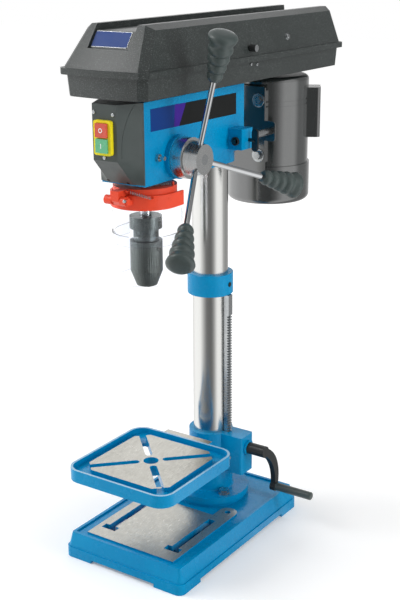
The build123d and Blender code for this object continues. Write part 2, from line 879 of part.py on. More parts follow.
# Turning grip on the crank's pivot pin
grip_start_x = crank_hub_end + crank_arm_thickness + body_gap
grip_plane = Plane(origin=(0, crank_pivot_y, crank_pivot_z), x_dir=(1, 0, 0), z_dir=(0, -1, 0))
grip_axis = Axis((0, crank_pivot_y, crank_pivot_z), (1, 0, 0))
grip_bore = crank_pivot_radius + running_gap
grip_bore_end = grip_start_x + crank_grip_length - crank_grip_radius + running_gap
grip_end_x = grip_start_x + crank_grip_length
with BuildPart() as crank_grip:
    with BuildSketch(grip_plane):
        with BuildLine():
            Polyline(
                (grip_bore_end, 0),
                (grip_bore_end, grip_bore),
                (grip_start_x, grip_bore),
                (grip_start_x, crank_grip_radius),
                (grip_end_x, crank_grip_radius),
                (grip_end_x, 0),
                close=True,
            )
        make_face()
    revolve(axis=grip_axis)
    fillet(crank_grip.edges().group_by(Axis.X)[-1], crank_grip_radius - crank_pivot_radius)

crank_grip.part.label = "crank_grip"
export_step(crank_grip.part, "parts/crank_grip.step")

# Clamp lever: screw through the split ears, ball-ended bar on the left
clamp_head_x = -clamp_ear_half_width - body_gap
clamp_bar_plane = Plane(
    origin=(clamp_head_x - clamp_knob_radius / 2, clamp_screw_y, clamp_screw_z),
    z_dir=(-sin(radians(crank_angle)), 0, -cos(radians(crank_angle))),
)
with BuildPart() as clamp_lever:
    with BuildSketch(side_plane(clamp_head_x)):
        with Locations((clamp_screw_y, clamp_screw_z)):
            Circle(clamp_screw_radius)
    extrude(amount=2 * clamp_ear_half_width)
    with BuildSketch(side_plane(clamp_head_x)):
        with Locations((clamp_screw_y, clamp_screw_z)):
            Circle(clamp_knob_radius)
    extrude(amount=-clamp_knob_radius)
    with BuildSketch(clamp_bar_plane):
        Circle(clamp_lever_radius)
    extrude(amount=clamp_lever_length)
    with Locations(clamp_bar_plane.offset(clamp_lever_length)):
        Sphere(clamp_knob_radius)

clamp_lever.part.label = "clamp_lever"
export_step(clamp_lever.part, "parts/clamp_lever.step")

# Tilt bolt: hexagon head in front of the table's lug, shank into the bracket's boss
lug_front_y = -throat + table_half - table_rim_wall
tilt_head_y = lug_front_y - body_gap
with BuildPart() as tilt_bolt:
    with BuildSketch(front_plane(-column_radius - tilt_bolt_depth)):
        with Locations((0, tilt_axis_z)):
            Circle(tilt_bolt_radius)
    extrude(amount=-tilt_head_y - column_radius - tilt_bolt_depth)
    with BuildSketch(front_plane(tilt_head_y)):
        with Locations((0, tilt_axis_z)):
            RegularPolygon(tilt_bolt_head_radius, 6)
    extrude(amount=tilt_bolt_head_height)

tilt_bolt.part.label = "tilt_bolt"
export_step(tilt_bolt.part, "parts/tilt_bolt.step")

# Table: rimmed casting with a raised land, drain trough, diagonal slots and a rear lug
lug_rear_y = -tilt_joint_y - body_gap
slot_through_end = table_slot_end - table_slot_through
with BuildPart() as table:
    with BuildSketch(Plane.XY.offset(table_rim_top - table_rim_height)):
        with Locations((0, -throat)):
            RectangleRounded(2 * table_half, 2 * table_half, table_corner)
    extrude(amount=table_rim_height)
    with BuildSketch(Plane.XY.offset(table_trough_floor)):
        with Locations((0, -throat)):
            RectangleRounded(
                2 * table_half - 2 * table_rim_wall,
                2 * table_half - 2 * table_rim_wall,
                table_corner - table_rim_wall,
            )
    extrude(amount=overrun, mode=Mode.SUBTRACT)
    with BuildSketch(Plane.XY.offset(table_trough_floor)):
        with Locations((0, -throat)):
            Rectangle(2 * table_land_half, 2 * table_land_half)
        chamfer(vertices(), table_land_chamfer)
    extrude(amount=table_surface - table_trough_floor)
    with BuildSketch(Plane.XY.offset(table_rim_top - table_rim_height)):
        with Locations((0, -throat)):
            RectangleRounded(
                2 * table_half - 2 * table_rim_wall,
                2 * table_half - 2 * table_rim_wall,
                table_corner - table_rim_wall,
            )
    extrude(amount=table_trough_floor - table_floor_thickness - table_rim_top + table_rim_height,
            mode=Mode.SUBTRACT)
    with BuildSketch(Plane.XY.offset(table_rim_top - table_rim_height)):
        with Locations((0, -throat)):
            Circle(table_hole_radius + table_rib)
            Rectangle(2 * table_half - table_rim_wall, table_rib)
            Rectangle(table_rib, 2 * table_half - table_rim_wall)
    extrude(amount=table_trough_floor - table_rim_top + table_rim_height)
    with BuildSketch(Plane.XY.offset(table_rim_top - table_rim_height - overrun)):
        with Locations((0, -throat)):
            Circle(table_hole_radius)
        with Locations((0, -throat)):
            with PolarLocations((table_slot_start + slot_through_end) / 2, 4, start_angle=45):
                Rectangle(slot_through_end - table_slot_start, table_slot_width)
        with Locations((0, -throat)):
            with PolarLocations(table_slot_start, 4, start_angle=45):
                Circle(table_slot_width / 2)
            with PolarLocations(slot_through_end, 4, start_angle=45):
                Circle(table_slot_width / 2)
    extrude(amount=table_rim_height + 2 * overrun, mode=Mode.SUBTRACT)
    with BuildSketch(Plane.XY.offset(table_trough_floor)):
        with Locations((0, -throat)):
            with PolarLocations((table_slot_start + table_slot_end) / 2, 4, start_angle=45):
                Rectangle(table_slot_end - table_slot_start, table_slot_width)
        with Locations((0, -throat)):
            with PolarLocations(table_slot_end, 4, start_angle=45):
                Circle(table_slot_width / 2)
    extrude(amount=overrun, mode=Mode.SUBTRACT)
    with BuildSketch(front_plane(lug_rear_y)):
        with Locations((0, tilt_axis_z)):
            Circle(table_lug_radius)
        with Locations((0, (tilt_axis_z + table_rim_top) / 2)):
            Rectangle(2 * table_lug_radius, table_rim_top - tilt_axis_z)
        with Locations((0, table_rim_top - table_rim_height / 2)):
            Rectangle(2 * table_lug_half_width, table_rim_height)
    extrude(amount=lug_rear_y - lug_front_y)
    with BuildSketch(front_plane(lug_rear_y + overrun)):
        with Locations((0, tilt_axis_z)):
            Circle(tilt_bolt_radius + running_gap)
    extrude(amount=table_lug_thickness + 2 * overrun, mode=Mode.SUBTRACT)

table.part.label = "table"
export_step(table.part, "parts/table.step")

# Head casting: round-backed body with the quill bore, feed bosses, motor slide blocks and pan pads
head_inner_half = head_half_width - head_wall
quill_bore = quill_radius + running_gap
pinion_tip = pinion_radius + tooth_module
bar_front_y = slide_block_rear - slide_bar_engaged
with BuildPart() as head_casting:
    with BuildSketch(Plane.XY.offset(head_bottom)):
        with Locations((0, -head_front / 2)):
            Rectangle(2 * head_half_width, head_front)
        Circle(head_half_width)
    extrude(amount=head_top - head_bottom)
    with BuildSketch(Plane.XY.offset(head_rear_flat_bottom)):
        with Locations((0, head_rear_flat / 2)):
            Rectangle(2 * head_half_width, head_rear_flat)
    extrude(amount=head_top - head_rear_flat_bottom)
    with BuildSketch(side_plane(0)):
        with Locations((feed_axis_y, feed_axis_z)):
            Circle(feed_boss_radius)
    extrude(amount=head_half_width + feed_boss_length)
    with BuildSketch(side_plane(0)):
        with Locations((feed_axis_y, feed_axis_z)):
            Circle(spring_boss_radius)
    extrude(amount=-head_half_width - spring_boss_length)
    with BuildSketch(Plane.XY.offset(slide_block_bottom)):
        with Locations((0, (slide_block_rear - slide_block_front) / 2)):
            Rectangle(2 * slide_block_reach, slide_block_rear + slide_block_front)
    extrude(amount=slide_block_height)
    with BuildSketch(Plane.XY.offset(head_top - overrun / 2)):
        with Locations(
            (-pan_pad_x, -pan_pad_front_y),
            (pan_pad_x, -pan_pad_front_y),
            (-pan_pad_x, pan_pad_rear_y),
            (pan_pad_x, pan_pad_rear_y),
        ):
            Circle(pan_pad_radius)
    extrude(amount=overrun / 2 + pan_bottom - head_top)
    with BuildSketch(Plane.XY.offset(head_bottom + head_wall)):
        with Locations((0, -head_front)):
            Rectangle(2 * head_inner_half, 2 * head_cable_bay_depth)
    extrude(amount=head_top - head_bottom - 2 * head_wall, mode=Mode.SUBTRACT)
    with BuildSketch(Plane.XY.offset(head_bottom - overrun)):
        with Locations((0, -(head_cavity_front + head_cavity_rear) / 2)):
            Rectangle(2 * head_inner_half, head_cavity_front - head_cavity_rear)
    extrude(amount=overrun + head_top - head_bottom - head_wall, mode=Mode.SUBTRACT)
    with BuildSketch(Plane.XY.offset(head_bottom - overrun)):
        Circle(column_radius)
    extrude(amount=overrun + column_top - head_bottom, mode=Mode.SUBTRACT)
    with BuildSketch(Plane.XY.offset(head_bottom - overrun)):
        with Locations((0, -throat)):
            Circle(quill_bore)
    extrude(amount=overrun + quill_top + quill_head_room - head_bottom, mode=Mode.SUBTRACT)
    with BuildSketch(Plane.XY.offset(quill_top)):
        with Locations((0, -throat)):
            Circle(sleeve_radius + quill_head_room)
    extrude(amount=overrun + head_top - quill_top, mode=Mode.SUBTRACT)
    with BuildSketch(Plane.XY.offset(head_top - head_bearing_height)):
        with Locations((0, -throat)):
            Circle(head_bearing_outer)
    extrude(amount=overrun, mode=Mode.SUBTRACT)
    with BuildSketch(side_plane(-pinion_room)):
        with Locations((feed_axis_y, feed_axis_z)):
            Circle(pinion_tip + running_gap * 2)
    extrude(amount=2 * pinion_room, mode=Mode.SUBTRACT)
    with BuildSketch(side_plane(0)):
        with Locations((feed_axis_y, feed_axis_z)):
            Circle(feed_journal_radius + running_gap)
    extrude(amount=head_half_width + feed_boss_length + overrun, mode=Mode.SUBTRACT)
    with BuildSketch(side_plane(0)):
        with Locations((feed_axis_y, feed_axis_z)):
            Circle(left_journal_radius + running_gap)
    extrude(amount=-head_half_width - spring_boss_length - overrun, mode=Mode.SUBTRACT)
    with BuildSketch(front_plane(slide_block_rear + overrun)):
        with Locations((-slide_bar_x, slide_bar_z), (slide_bar_x, slide_bar_z)):
            Circle(slide_bar_radius + running_gap)
    extrude(amount=overrun + slide_bar_bore, mode=Mode.SUBTRACT)
    with BuildSketch(side_plane(slide_bar_x)):
        with Locations((wing_y, slide_bar_z)):
            Circle(wing_shank_radius + running_gap)
    extrude(amount=slide_block_reach + overrun, mode=Mode.SUBTRACT)
    with BuildSketch(front_plane(-slide_block_front + block_screw_depth)):
        with Locations((block_screw_x, slide_bar_z)):
            Circle(head_screw_radius)
    extrude(amount=overrun, mode=Mode.SUBTRACT)
    with BuildSketch(side_plane(column_wall - column_radius)):
        with Locations((0, head_screw_low_z), (0, head_screw_high_z)):
            Circle(head_screw_radius)
    extrude(amount=-head_half_width - overrun, mode=Mode.SUBTRACT)
    with BuildSketch(side_plane(0)):
        with Locations((-gib_screw_y, gib_screw_z)):
            Circle(gib_screw_radius)
    extrude(amount=head_half_width + overrun, mode=Mode.SUBTRACT)
    with BuildSketch(Plane.XY.offset(head_top - idler_pivot_depth - body_gap)):
        with Locations((idler_pivot_x, idler_pivot_y)):
            Circle(idler_pivot_radius + running_gap)
    extrude(amount=idler_pivot_depth + overrun, mode=Mode.SUBTRACT)

head_casting.part.label = "head_casting"
export_step(head_casting.part, "parts/head_casting.step")

# Set screws: rack collar, head on column, quill gib with its nut, slide block clamp
gib_end_x = sqrt(quill_bore ** 2 - (gib_screw_y - gib_screw_radius - throat) ** 2) + body_gap
with BuildPart() as set_screws:
    with BuildSketch(side_plane(column_radius)):
        with Locations((0, collar_screw_z)):
            Circle(set_screw_radius)
    extrude(amount=collar_radius + set_screw_proud - column_radius)
    with BuildSketch(side_plane(-column_radius)):
        with Locations((0, head_screw_low_z), (0, head_screw_high_z)):
            Circle(head_screw_radius)
    extrude(amount=column_radius + set_screw_proud - head_half_width)
    with BuildSketch(front_plane(-slide_block_front + block_screw_depth)):
        with Locations((block_screw_x, slide_bar_z)):
            Circle(head_screw_radius)
    extrude(amount=block_screw_depth + set_screw_proud)
    with BuildSketch(front_plane(-slide_block_front - set_screw_proud)):
        with Locations((block_screw_x, slide_bar_z)):
            Rectangle(block_screw_square, block_screw_square)
    extrude(amount=head_screw_radius)
    with BuildSketch(side_plane(gib_end_x)):
        with Locations((-gib_screw_y, gib_screw_z)):
            Circle(gib_screw_radius)
    extrude(amount=head_half_width + gib_screw_proud - gib_end_x)
    with BuildSketch(side_plane(head_half_width)):
        with Locations((-gib_screw_y, gib_screw_z)):
            RegularPolygon(gib_nut_radius, 6)
    extrude(amount=gib_nut_length)

set_screws.part.label = "set_screws"
export_step(set_screws.part, "parts/set_screws.step")

# Switch box on the head's nose: chamfered plan, chin slanting back, open behind
def switch_plan(height, inset, side_depth, front):
    """The switch box's plan at one height."""
    half = head_half_width - inset
    with BuildSketch(Plane.XY.offset(height)) as plan:
        Polygon(
            (-half, -head_front + inset),
            (-half, -head_front - side_depth + inset),
            (-switch_face_half, -front + inset),
            (switch_face_half, -front + inset),
            (half, -head_front - side_depth + inset),
            (half, -head_front + inset),
            align=None,
        )
    return plan.sketch


def switch_shell(inset):
    """The switch box's outer form, drawn in by an even inset."""
    with BuildPart() as shell:
        add(switch_plan(switch_face_bottom, inset, switch_side_depth, switch_front))
        extrude(amount=head_top - inset - switch_face_bottom)
        add(switch_plan(switch_face_bottom, inset, switch_side_depth, switch_front))
        add(switch_plan(switch_bottom + inset, inset, switch_side_foot, switch_chin_y))
        loft(ruled=True)
    return shell.part


button_centres = (
    (0, switch_centre_z + (button_height + button_gap) / 2),
    (0, switch_centre_z - (button_height + button_gap) / 2),
)
with BuildPart() as switch_box:
    add(switch_shell(0))
    add(switch_shell(switch_wall), mode=Mode.SUBTRACT)
    with BuildSketch(Plane.XY.offset(switch_bottom - overrun)):
        with Locations((0, -head_front + overrun / 2)):
            Rectangle(4 * head_half_width, overrun)
    extrude(amount=head_top - switch_bottom + 2 * overrun, mode=Mode.SUBTRACT)
    with BuildSketch(front_plane(-switch_front + switch_wall + overrun)):
        with Locations(*button_centres):
            Rectangle(button_width + 2 * body_gap, button_height + 2 * body_gap)
    extrude(amount=2 * overrun + switch_wall, mode=Mode.SUBTRACT)

switch_box.part.label = "switch_box"
export_step(switch_box.part, "parts/switch_box.step")

# Frame round the two push buttons
with BuildPart() as switch_frame:
    with BuildSketch(front_plane(-switch_front)):
        with Locations((0, switch_centre_z)):
            RectangleRounded(switch_frame_width, switch_frame_height, switch_frame_wall)
        with Locations(*button_centres):
            Rectangle(button_width + 2 * body_gap, button_height + 2 * body_gap, mode=Mode.SUBTRACT)
    extrude(amount=switch_frame_proud)

switch_frame.part.label = "switch_frame"
export_step(switch_frame.part, "parts/switch_frame.step")


def push_button(place):
    """One push button with a catch behind the box's front wall."""
    with BuildPart() as button:
        with BuildSketch(front_plane(-switch_front + switch_wall + body_gap)):
            with Locations(place):
                Rectangle(button_width, button_height)
        extrude(amount=switch_wall + body_gap + switch_frame_proud + button_proud)
        with BuildSketch(front_plane(-switch_front + switch_wall + body_gap)):
            with Locations(place):
                Rectangle(button_width + 2 * button_gap, button_height - button_gap)
        extrude(amount=-button_gap)
    return button


stop_button = push_button(button_centres[0])
stop_button.part.label = "stop_button"
export_step(stop_button.part, "parts/stop_button.step")

start_button = push_button(button_centres[1])
start_button.part.label = "start_button"
export_step(start_button.part, "parts/start_button.step")


# Plan of the belt housing: bowed front, cut corners
def lid_outline(height, half, front, rear, bow, corner):
    """The belt housing's plan at one height."""
    with BuildSketch(Plane.XY.offset(height)) as outline:
        with BuildLine():
            ThreePointArc(
                (-half + corner, -front + bow), (0, -front), (half - corner, -front + bow)
            )
            Polyline(
                (half - corner, -front + bow),
                (half, -front + bow + corner),
                (half, rear - corner),
                (half - corner, rear),
                (-half + corner, rear),
                (-half, rear - corner),
                (-half, -front + bow + corner),
                (-half + corner, -front + bow),
            )
        make_face()
    return outline.sketch


# Belt housing floor: a flared tray that carries the hinge arms
hinge_x = -lid_lip_half - hinge_offset
with BuildPart() as belt_pan:
    for inset, mode in ((0, Mode.ADD), (pan_wall, Mode.SUBTRACT)):
        add(lid_outline(
            pan_bottom + inset,
            pan_half_width - inset,
            pan_front - inset,
            pan_rear - inset,
            lid_bow,
            lid_corner,
        ))
        add(lid_outline(
            pan_top,
            pan_half_width + pan_flare - inset,
            pan_front + pan_flare - inset,
            pan_rear + pan_flare - inset,
            lid_bow,
            lid_corner,
        ))
        loft(ruled=True, mode=mode)
    for place in hinge_places:
        with BuildSketch(front_plane(place + hinge_knuckle_length)):
            with BuildLine():
                Polyline(
                    (-pan_half_width - pan_wall / 2, lid_lip_bottom - hinge_arm_wall),
                    (-pan_half_width + pan_wall / 2, pan_top - hinge_arm_drop),
                    (hinge_x - hinge_knuckle_radius, lid_lip_bottom - 2 * hinge_arm_wall),
                    (hinge_x - hinge_knuckle_radius, hinge_z),
                    (hinge_x + hinge_knuckle_radius, hinge_z),
                    (hinge_x + hinge_knuckle_radius, lid_lip_bottom - hinge_arm_wall),
                    close=True,
                )
            make_face()
            with Locations((hinge_x, hinge_z)):
                Circle(hinge_knuckle_radius)
        extrude(amount=hinge_knuckle_length)
        with BuildSketch(front_plane(place + hinge_knuckle_length + overrun)):
            with Locations((hinge_x, hinge_z)):
                Circle(hinge_pin_radius)
        extrude(amount=hinge_knuckle_length + 2 * overrun, mode=Mode.SUBTRACT)
    with BuildSketch(Plane.XY.offset(pan_bottom - overrun)):
        with Locations((0, -throat)):
            Circle(pan_sleeve_hole)
        with Locations((0, motor_y)):
            SlotCenterToCenter(pan_motor_slot, 2 * rotor_radius + pan_wall * 4, rotation=90)
        with Locations((idler_pivot_x, idler_pivot_y)):
            Circle(idler_pivot_radius + running_gap)
    extrude(amount=2 * overrun, mode=Mode.SUBTRACT)

belt_pan.part.label = "belt_pan"
export_step(belt_pan.part, "parts/belt_pan.step")

# Hinge pins: pressed in the tray's arms, running in the lid's knuckles
with BuildPart() as hinge_pins:
    for place in hinge_places:
        with BuildSketch(front_plane(place + hinge_knuckle_length)):
            with Locations((hinge_x, hinge_z)):
                Circle(hinge_pin_radius)
        extrude(amount=2 * hinge_knuckle_length)

hinge_pins.part.label = "hinge_pins"
export_step(hinge_pins.part, "parts/hinge_pins.step")


# Lid of the belt housing: lofted hood with a sunk panel along the top and a lip
def lid_hood(inset):
    """The lid's hood, drawn in by an even inset."""
    with BuildPart() as hood:
        add(lid_outline(
            lid_lip_top,
            lid_lip_half - lid_lip_wall - inset,
            lid_lip_front - lid_lip_wall - inset,
            lid_lip_rear - lid_lip_wall - inset,
            lid_bow,
            lid_corner,
        ))
        add(lid_outline(
            lid_top - inset,
            lid_top_half - inset,
            lid_top_front - inset,
            lid_top_rear - inset,
            lid_bow,
            lid_corner,
        ))
        loft(ruled=True)
        flat_half = lid_top_half - lid_bevel_width - inset
        with BuildSketch(front_plane(lid_lip_rear + overrun)):
            Polygon(
                (-flat_half, lid_top - inset),
                (flat_half, lid_top - inset),
                (flat_half + 4 * lid_bevel_width, lid_top - inset - 4 * lid_bevel_drop),
                (flat_half + 4 * lid_bevel_width, lid_lip_bottom - overrun),
                (-flat_half - 4 * lid_bevel_width, lid_lip_bottom - overrun),
                (-flat_half - 4 * lid_bevel_width, lid_top - inset - 4 * lid_bevel_drop),
                align=None,
            )
        extrude(amount=lid_lip_rear + lid_lip_front + 2 * overrun, mode=Mode.INTERSECT)
    return hood.part


def lid_channel(inset):
    """The space of the sunk panel along the top and down the front, widened by the wall."""
    slope = (lid_lip_front - lid_lip_wall - lid_top_front) / (lid_top - lid_lip_top)
    foot = lid_channel_foot - inset
    floor = lid_top - lid_channel_depth - inset
    foot_y = -lid_top_front - slope * (lid_top - foot) + lid_channel_front_depth + inset
    floor_y = -lid_top_front - slope * (lid_top - floor) + lid_channel_front_depth + inset
    with BuildPart() as channel:
        with BuildSketch(side_plane(-lid_channel_half - inset)):
            with BuildLine():
                Polyline(
                    (-lid_lip_front - overrun, foot),
                    (foot_y, foot),
                    (floor_y, floor),
                    (lid_lip_rear + overrun, floor),
                    (lid_lip_rear + overrun, lid_top + overrun),
                    (-lid_lip_front - overrun, lid_top + overrun),
                    close=True,
                )
            make_face()
        extrude(amount=2 * lid_channel_half + 2 * inset)
    return channel.part


with BuildPart() as lid:
    add(lid_hood(0))
    add(lid_channel(0), mode=Mode.SUBTRACT)
    add(lid_hood(lid_wall) - lid_channel(lid_wall), mode=Mode.SUBTRACT)
    add(lid_outline(lid_lip_bottom, lid_lip_half, lid_lip_front, lid_lip_rear, lid_bow, lid_corner))
    extrude(amount=lid_lip_top - lid_lip_bottom)
    add(lid_outline(
        lid_lip_bottom,
        lid_lip_half - lid_lip_wall,
        lid_lip_front - lid_lip_wall,
        lid_lip_rear - lid_lip_wall,
        lid_bow,
        lid_corner,
    ))
    extrude(amount=lid_lip_top - lid_lip_bottom - lid_wall, mode=Mode.SUBTRACT)
    add(lid_outline(
        lid_lip_bottom,
        lid_lip_half - lid_lip_wall - lid_wall,
        lid_lip_front - lid_lip_wall - lid_wall,
        lid_lip_rear - lid_lip_wall - lid_wall,
        lid_bow,
        lid_corner,
    ))
    extrude(amount=lid_lip_top - lid_lip_bottom + running_gap, mode=Mode.SUBTRACT)
    for place in hinge_places:
        with BuildSketch(front_plane(place - body_gap)):
            with BuildLine():
                Polyline(
                    (-lid_lip_half + lid_lip_wall / 2, lid_lip_top),
                    (-lid_lip_half + lid_lip_wall / 2, lid_lip_bottom),
                    (hinge_x, hinge_z - hinge_knuckle_radius),
                    (hinge_x, hinge_z + hinge_knuckle_radius),
                    close=True,
                )
            make_face()
            with Locations((hinge_x, hinge_z)):
                Circle(hinge_knuckle_radius)
        extrude(amount=hinge_knuckle_length)
        with BuildSketch(front_plane(place + overrun / 2)):
            with Locations((hinge_x, hinge_z)):
                Circle(hinge_pin_radius + running_gap)
        extrude(amount=hinge_knuckle_length + overrun, mode=Mode.SUBTRACT)
    with BuildSketch(side_plane(lid_top_half)):
        with Locations((catch_y, catch_z)):
            Circle(catch_screw_radius)
    extrude(amount=2 * overrun, mode=Mode.SUBTRACT)

lid.part.label = "lid"
export_step(lid.part, "parts/lid.step")

# Catch knob on the lid's side
lid_slope = (lid_lip_half - lid_lip_wall - lid_top_half) / (lid_top - lid_lip_top)
catch_seat_x = lid_lip_half - lid_lip_wall - lid_slope * (catch_z - catch_head_radius - lid_lip_top)
with BuildPart() as lid_knob:
    with BuildSketch(side_plane(lid_top_half + overrun / 4)):
        with Locations((catch_y, catch_z)):
            Circle(catch_screw_radius)
    extrude(amount=catch_seat_x - lid_top_half - overrun / 4)
    with BuildSketch(side_plane(catch_seat_x)):
        with Locations((catch_y, catch_z)):
            Circle(catch_head_radius)
    extrude(amount=catch_head_length)

lid_knob.part.label = "lid_knob"
export_step(lid_knob.part, "parts/lid_knob.step")


# Step pulleys: one V groove a step, a hollow web below
def level_height(level):
    """The middle of one belt groove."""
    return pulley_base_z + pulley_step * level


def pulley_outline(radii, bore, hub_bottom, hub_radius):
    """The turned outline of a step pulley, groove by groove from the bottom."""
    bottom = pulley_base_z - pulley_step / 2
    top = level_height(pulley_steps - 1) + pulley_step / 2
    hollow_radius = min(radii[0], radii[-1]) - pulley_groove_depth - pulley_rim
    points = [(bore, hub_bottom), (hub_radius, hub_bottom)]
    if hub_bottom < bottom:
        points.append((hub_radius, bottom))
    for level, radius in enumerate(radii):
        middle = level_height(level)
        points += [
            (radius, middle - pulley_step / 2),
            (radius, middle - belt_width / 2 - belt_groove_gap),
            (radius - pulley_groove_depth, middle - belt_inner_width / 2 - belt_groove_gap),
            (radius - pulley_groove_depth, middle + belt_inner_width / 2 + belt_groove_gap),
            (radius, middle + belt_width / 2 + belt_groove_gap),
            (radius, middle + pulley_step / 2),
        ]
    points.append((bore, top))
    return points


spindle_pulley_radii = [spindle_pulley_radius - pulley_radius_change * step for step in range(pulley_steps)]
motor_pulley_radii = [motor_pulley_radius - pulley_radius_change * step for step in range(pulley_steps)]
idler_pulley_radii = [idler_pulley_radius + pulley_radius_change * step for step in range(pulley_steps)]

spline_bore = spindle_spline_radius + running_gap
spindle_pulley = turned(
    pulley_outline(spindle_pulley_radii, spline_bore, sleeve_bottom, sleeve_radius), spindle_plane, spindle_axis
)
spindle_pulley.part.label = "spindle_pulley"
export_step(spindle_pulley.part, "parts/spindle_pulley.step")

idler_hub_bottom = pulley_base_z - pulley_step / 2
idler_pulley = turned(
    pulley_outline(
        idler_pulley_radii, idler_pin_radius + running_gap, idler_hub_bottom, pulley_hub_radius
    ),
    idler_plane,
    idler_axis,
)
idler_pulley.part.label = "idler_pulley"
export_step(idler_pulley.part, "parts/idler_pulley.step")

motor_pulley = turned(
    pulley_outline(motor_pulley_radii, rotor_radius, idler_hub_bottom, pulley_hub_radius),
    motor_plane,
    motor_axis,
)
motor_pulley.part.label = "motor_pulley"
export_step(motor_pulley.part, "parts/motor_pulley.step")


# V belts: one closed loop each, round the tangents of two grooves
def belt_loop(level, front_y, front_radius, rear_y, rear_radius):
    """A V belt round two pulleys whose axes lie on the centre line."""
    height = level_height(level)
    front_run = front_radius - belt_height / 2
    rear_run = rear_radius - belt_height / 2
    lean = (front_run - rear_run) / (rear_y - front_y)
    out = sqrt(1 - lean ** 2)
    start = (front_run * out, front_y + front_run * lean, height)
    end = (rear_run * out, rear_y + rear_run * lean, height)
    start_left = (-start[0], start[1], height)
    end_left = (-end[0], end[1], height)
    with BuildPart() as loop:
        with BuildLine() as run:
            Line(start, end)
            ThreePointArc(end, (0, rear_y + rear_run, height), end_left)
            Line(end_left, start_left)
            ThreePointArc(start_left, (0, front_y - front_run, height), start)
        with BuildSketch(Plane(origin=start, x_dir=(out, lean, 0), z_dir=(-lean, out, 0))):
            with BuildLine():
                Polyline(
                    (belt_height / 2, belt_width / 2),
                    (belt_height / 2, -belt_width / 2),
                    (-belt_height / 2, -belt_inner_width / 2),
                    (-belt_height / 2, belt_inner_width / 2),
                    close=True,
                )
            make_face()
        sweep(path=run.line)
    return loop


front_belt = belt_loop(
    front_belt_step_count,
    -throat,
    spindle_pulley_radii[front_belt_step_count],
    idler_y,
    idler_pulley_radii[front_belt_step_count],
)
front_belt.part.label = "front_belt"
export_step(front_belt.part, "parts/front_belt.step")

rear_belt = belt_loop(
    rear_belt_step_count,
    idler_y,
    idler_pulley_radii[rear_belt_step_count],
    motor_y,
    motor_pulley_radii[rear_belt_step_count],
)
rear_belt.part.label = "rear_belt"
export_step(rear_belt.part, "parts/rear_belt.step")

# Swinging arm of the idler: flat bar, its own pivot down into the head, the idler's pin up
arm_bottom = pan_bottom + pan_wall + body_gap
arm_length = hypot(idler_pivot_x, idler_y - idler_pivot_y)
arm_angle = degrees(atan((idler_y - idler_pivot_y) / -idler_pivot_x))
with BuildPart() as idler_arm:
    with BuildSketch(Plane.XY.offset(arm_bottom)):
        with Locations(Location((idler_pivot_x / 2, (idler_y + idler_pivot_y) / 2, 0), (0, 0, arm_angle))):
            SlotCenterToCenter(arm_length, idler_arm_width)
    extrude(amount=idler_arm_thickness)
    with BuildSketch(Plane.XY.offset(arm_bottom)):
        with Locations((0, idler_y)):
            Circle(idler_pin_radius)
    extrude(amount=level_height(pulley_steps - 1) + pulley_step / 2 - arm_bottom)
    with BuildSketch(Plane.XY.offset(head_top - idler_pivot_depth)):
        with Locations((idler_pivot_x, idler_pivot_y)):
            Circle(idler_pivot_radius)
    extrude(amount=arm_bottom + idler_arm_thickness - head_top + idler_pivot_depth)

idler_arm.part.label = "idler_arm"
export_step(idler_arm.part, "parts/idler_arm.step")

# Bearings of the spindle pulley's sleeve, seated in the head
head_bearings = turned(
    [
        (sleeve_radius + running_gap, head_top - head_bearing_height),
        (head_bearing_outer, head_top - head_bearing_height),
        (head_bearing_outer, head_top),
        (sleeve_radius + running_gap, head_top),
    ],
    spindle_plane,
    spindle_axis,
)
head_bearings.part.label = "head_bearings"
export_step(head_bearings.part, "parts/head_bearings.step")

# Motor plate: ears on the slide bars, slots for the motor's bolts
plate_rear = motor_plate_y + motor_plate_thickness
with BuildPart() as motor_plate:
    with BuildSketch(front_plane(plate_rear)):
        with Locations((0, (motor_plate_bottom + motor_plate_top) / 2)):
            RectangleRounded(
                2 * motor_plate_half_width, motor_plate_top - motor_plate_bottom, slide_block_edge
            )
        with Locations((0, slide_bar_z)):
            RectangleRounded(
                2 * slide_bar_x + 4 * slide_bar_radius, slide_block_height, 2 * slide_block_edge
            )
        with Locations((-slide_bar_x, slide_bar_z), (slide_bar_x, slide_bar_z)):
            Circle(slide_bar_radius, mode=Mode.SUBTRACT)
        for side in (-1, 1):
            for height in (motor_bolt_low_z, motor_bolt_high_z):
                with Locations((side * motor_bolt_x, height)):
                    SlotOverall(motor_slot_length, 2 * motor_bolt_radius + body_gap,
                                rotation=90, mode=Mode.SUBTRACT)
    extrude(amount=motor_plate_thickness)

motor_plate.part.label = "motor_plate"
export_step(motor_plate.part, "parts/motor_plate.step")

# Two bars that slide in the head's blocks
with BuildPart() as slide_bars:
    with BuildSketch(front_plane(plate_rear)):
        with Locations((-slide_bar_x, slide_bar_z), (slide_bar_x, slide_bar_z)):
            Circle(slide_bar_radius)
    extrude(amount=plate_rear - bar_front_y)

slide_bars.part.label = "slide_bars"
export_step(slide_bars.part, "parts/slide_bars.step")

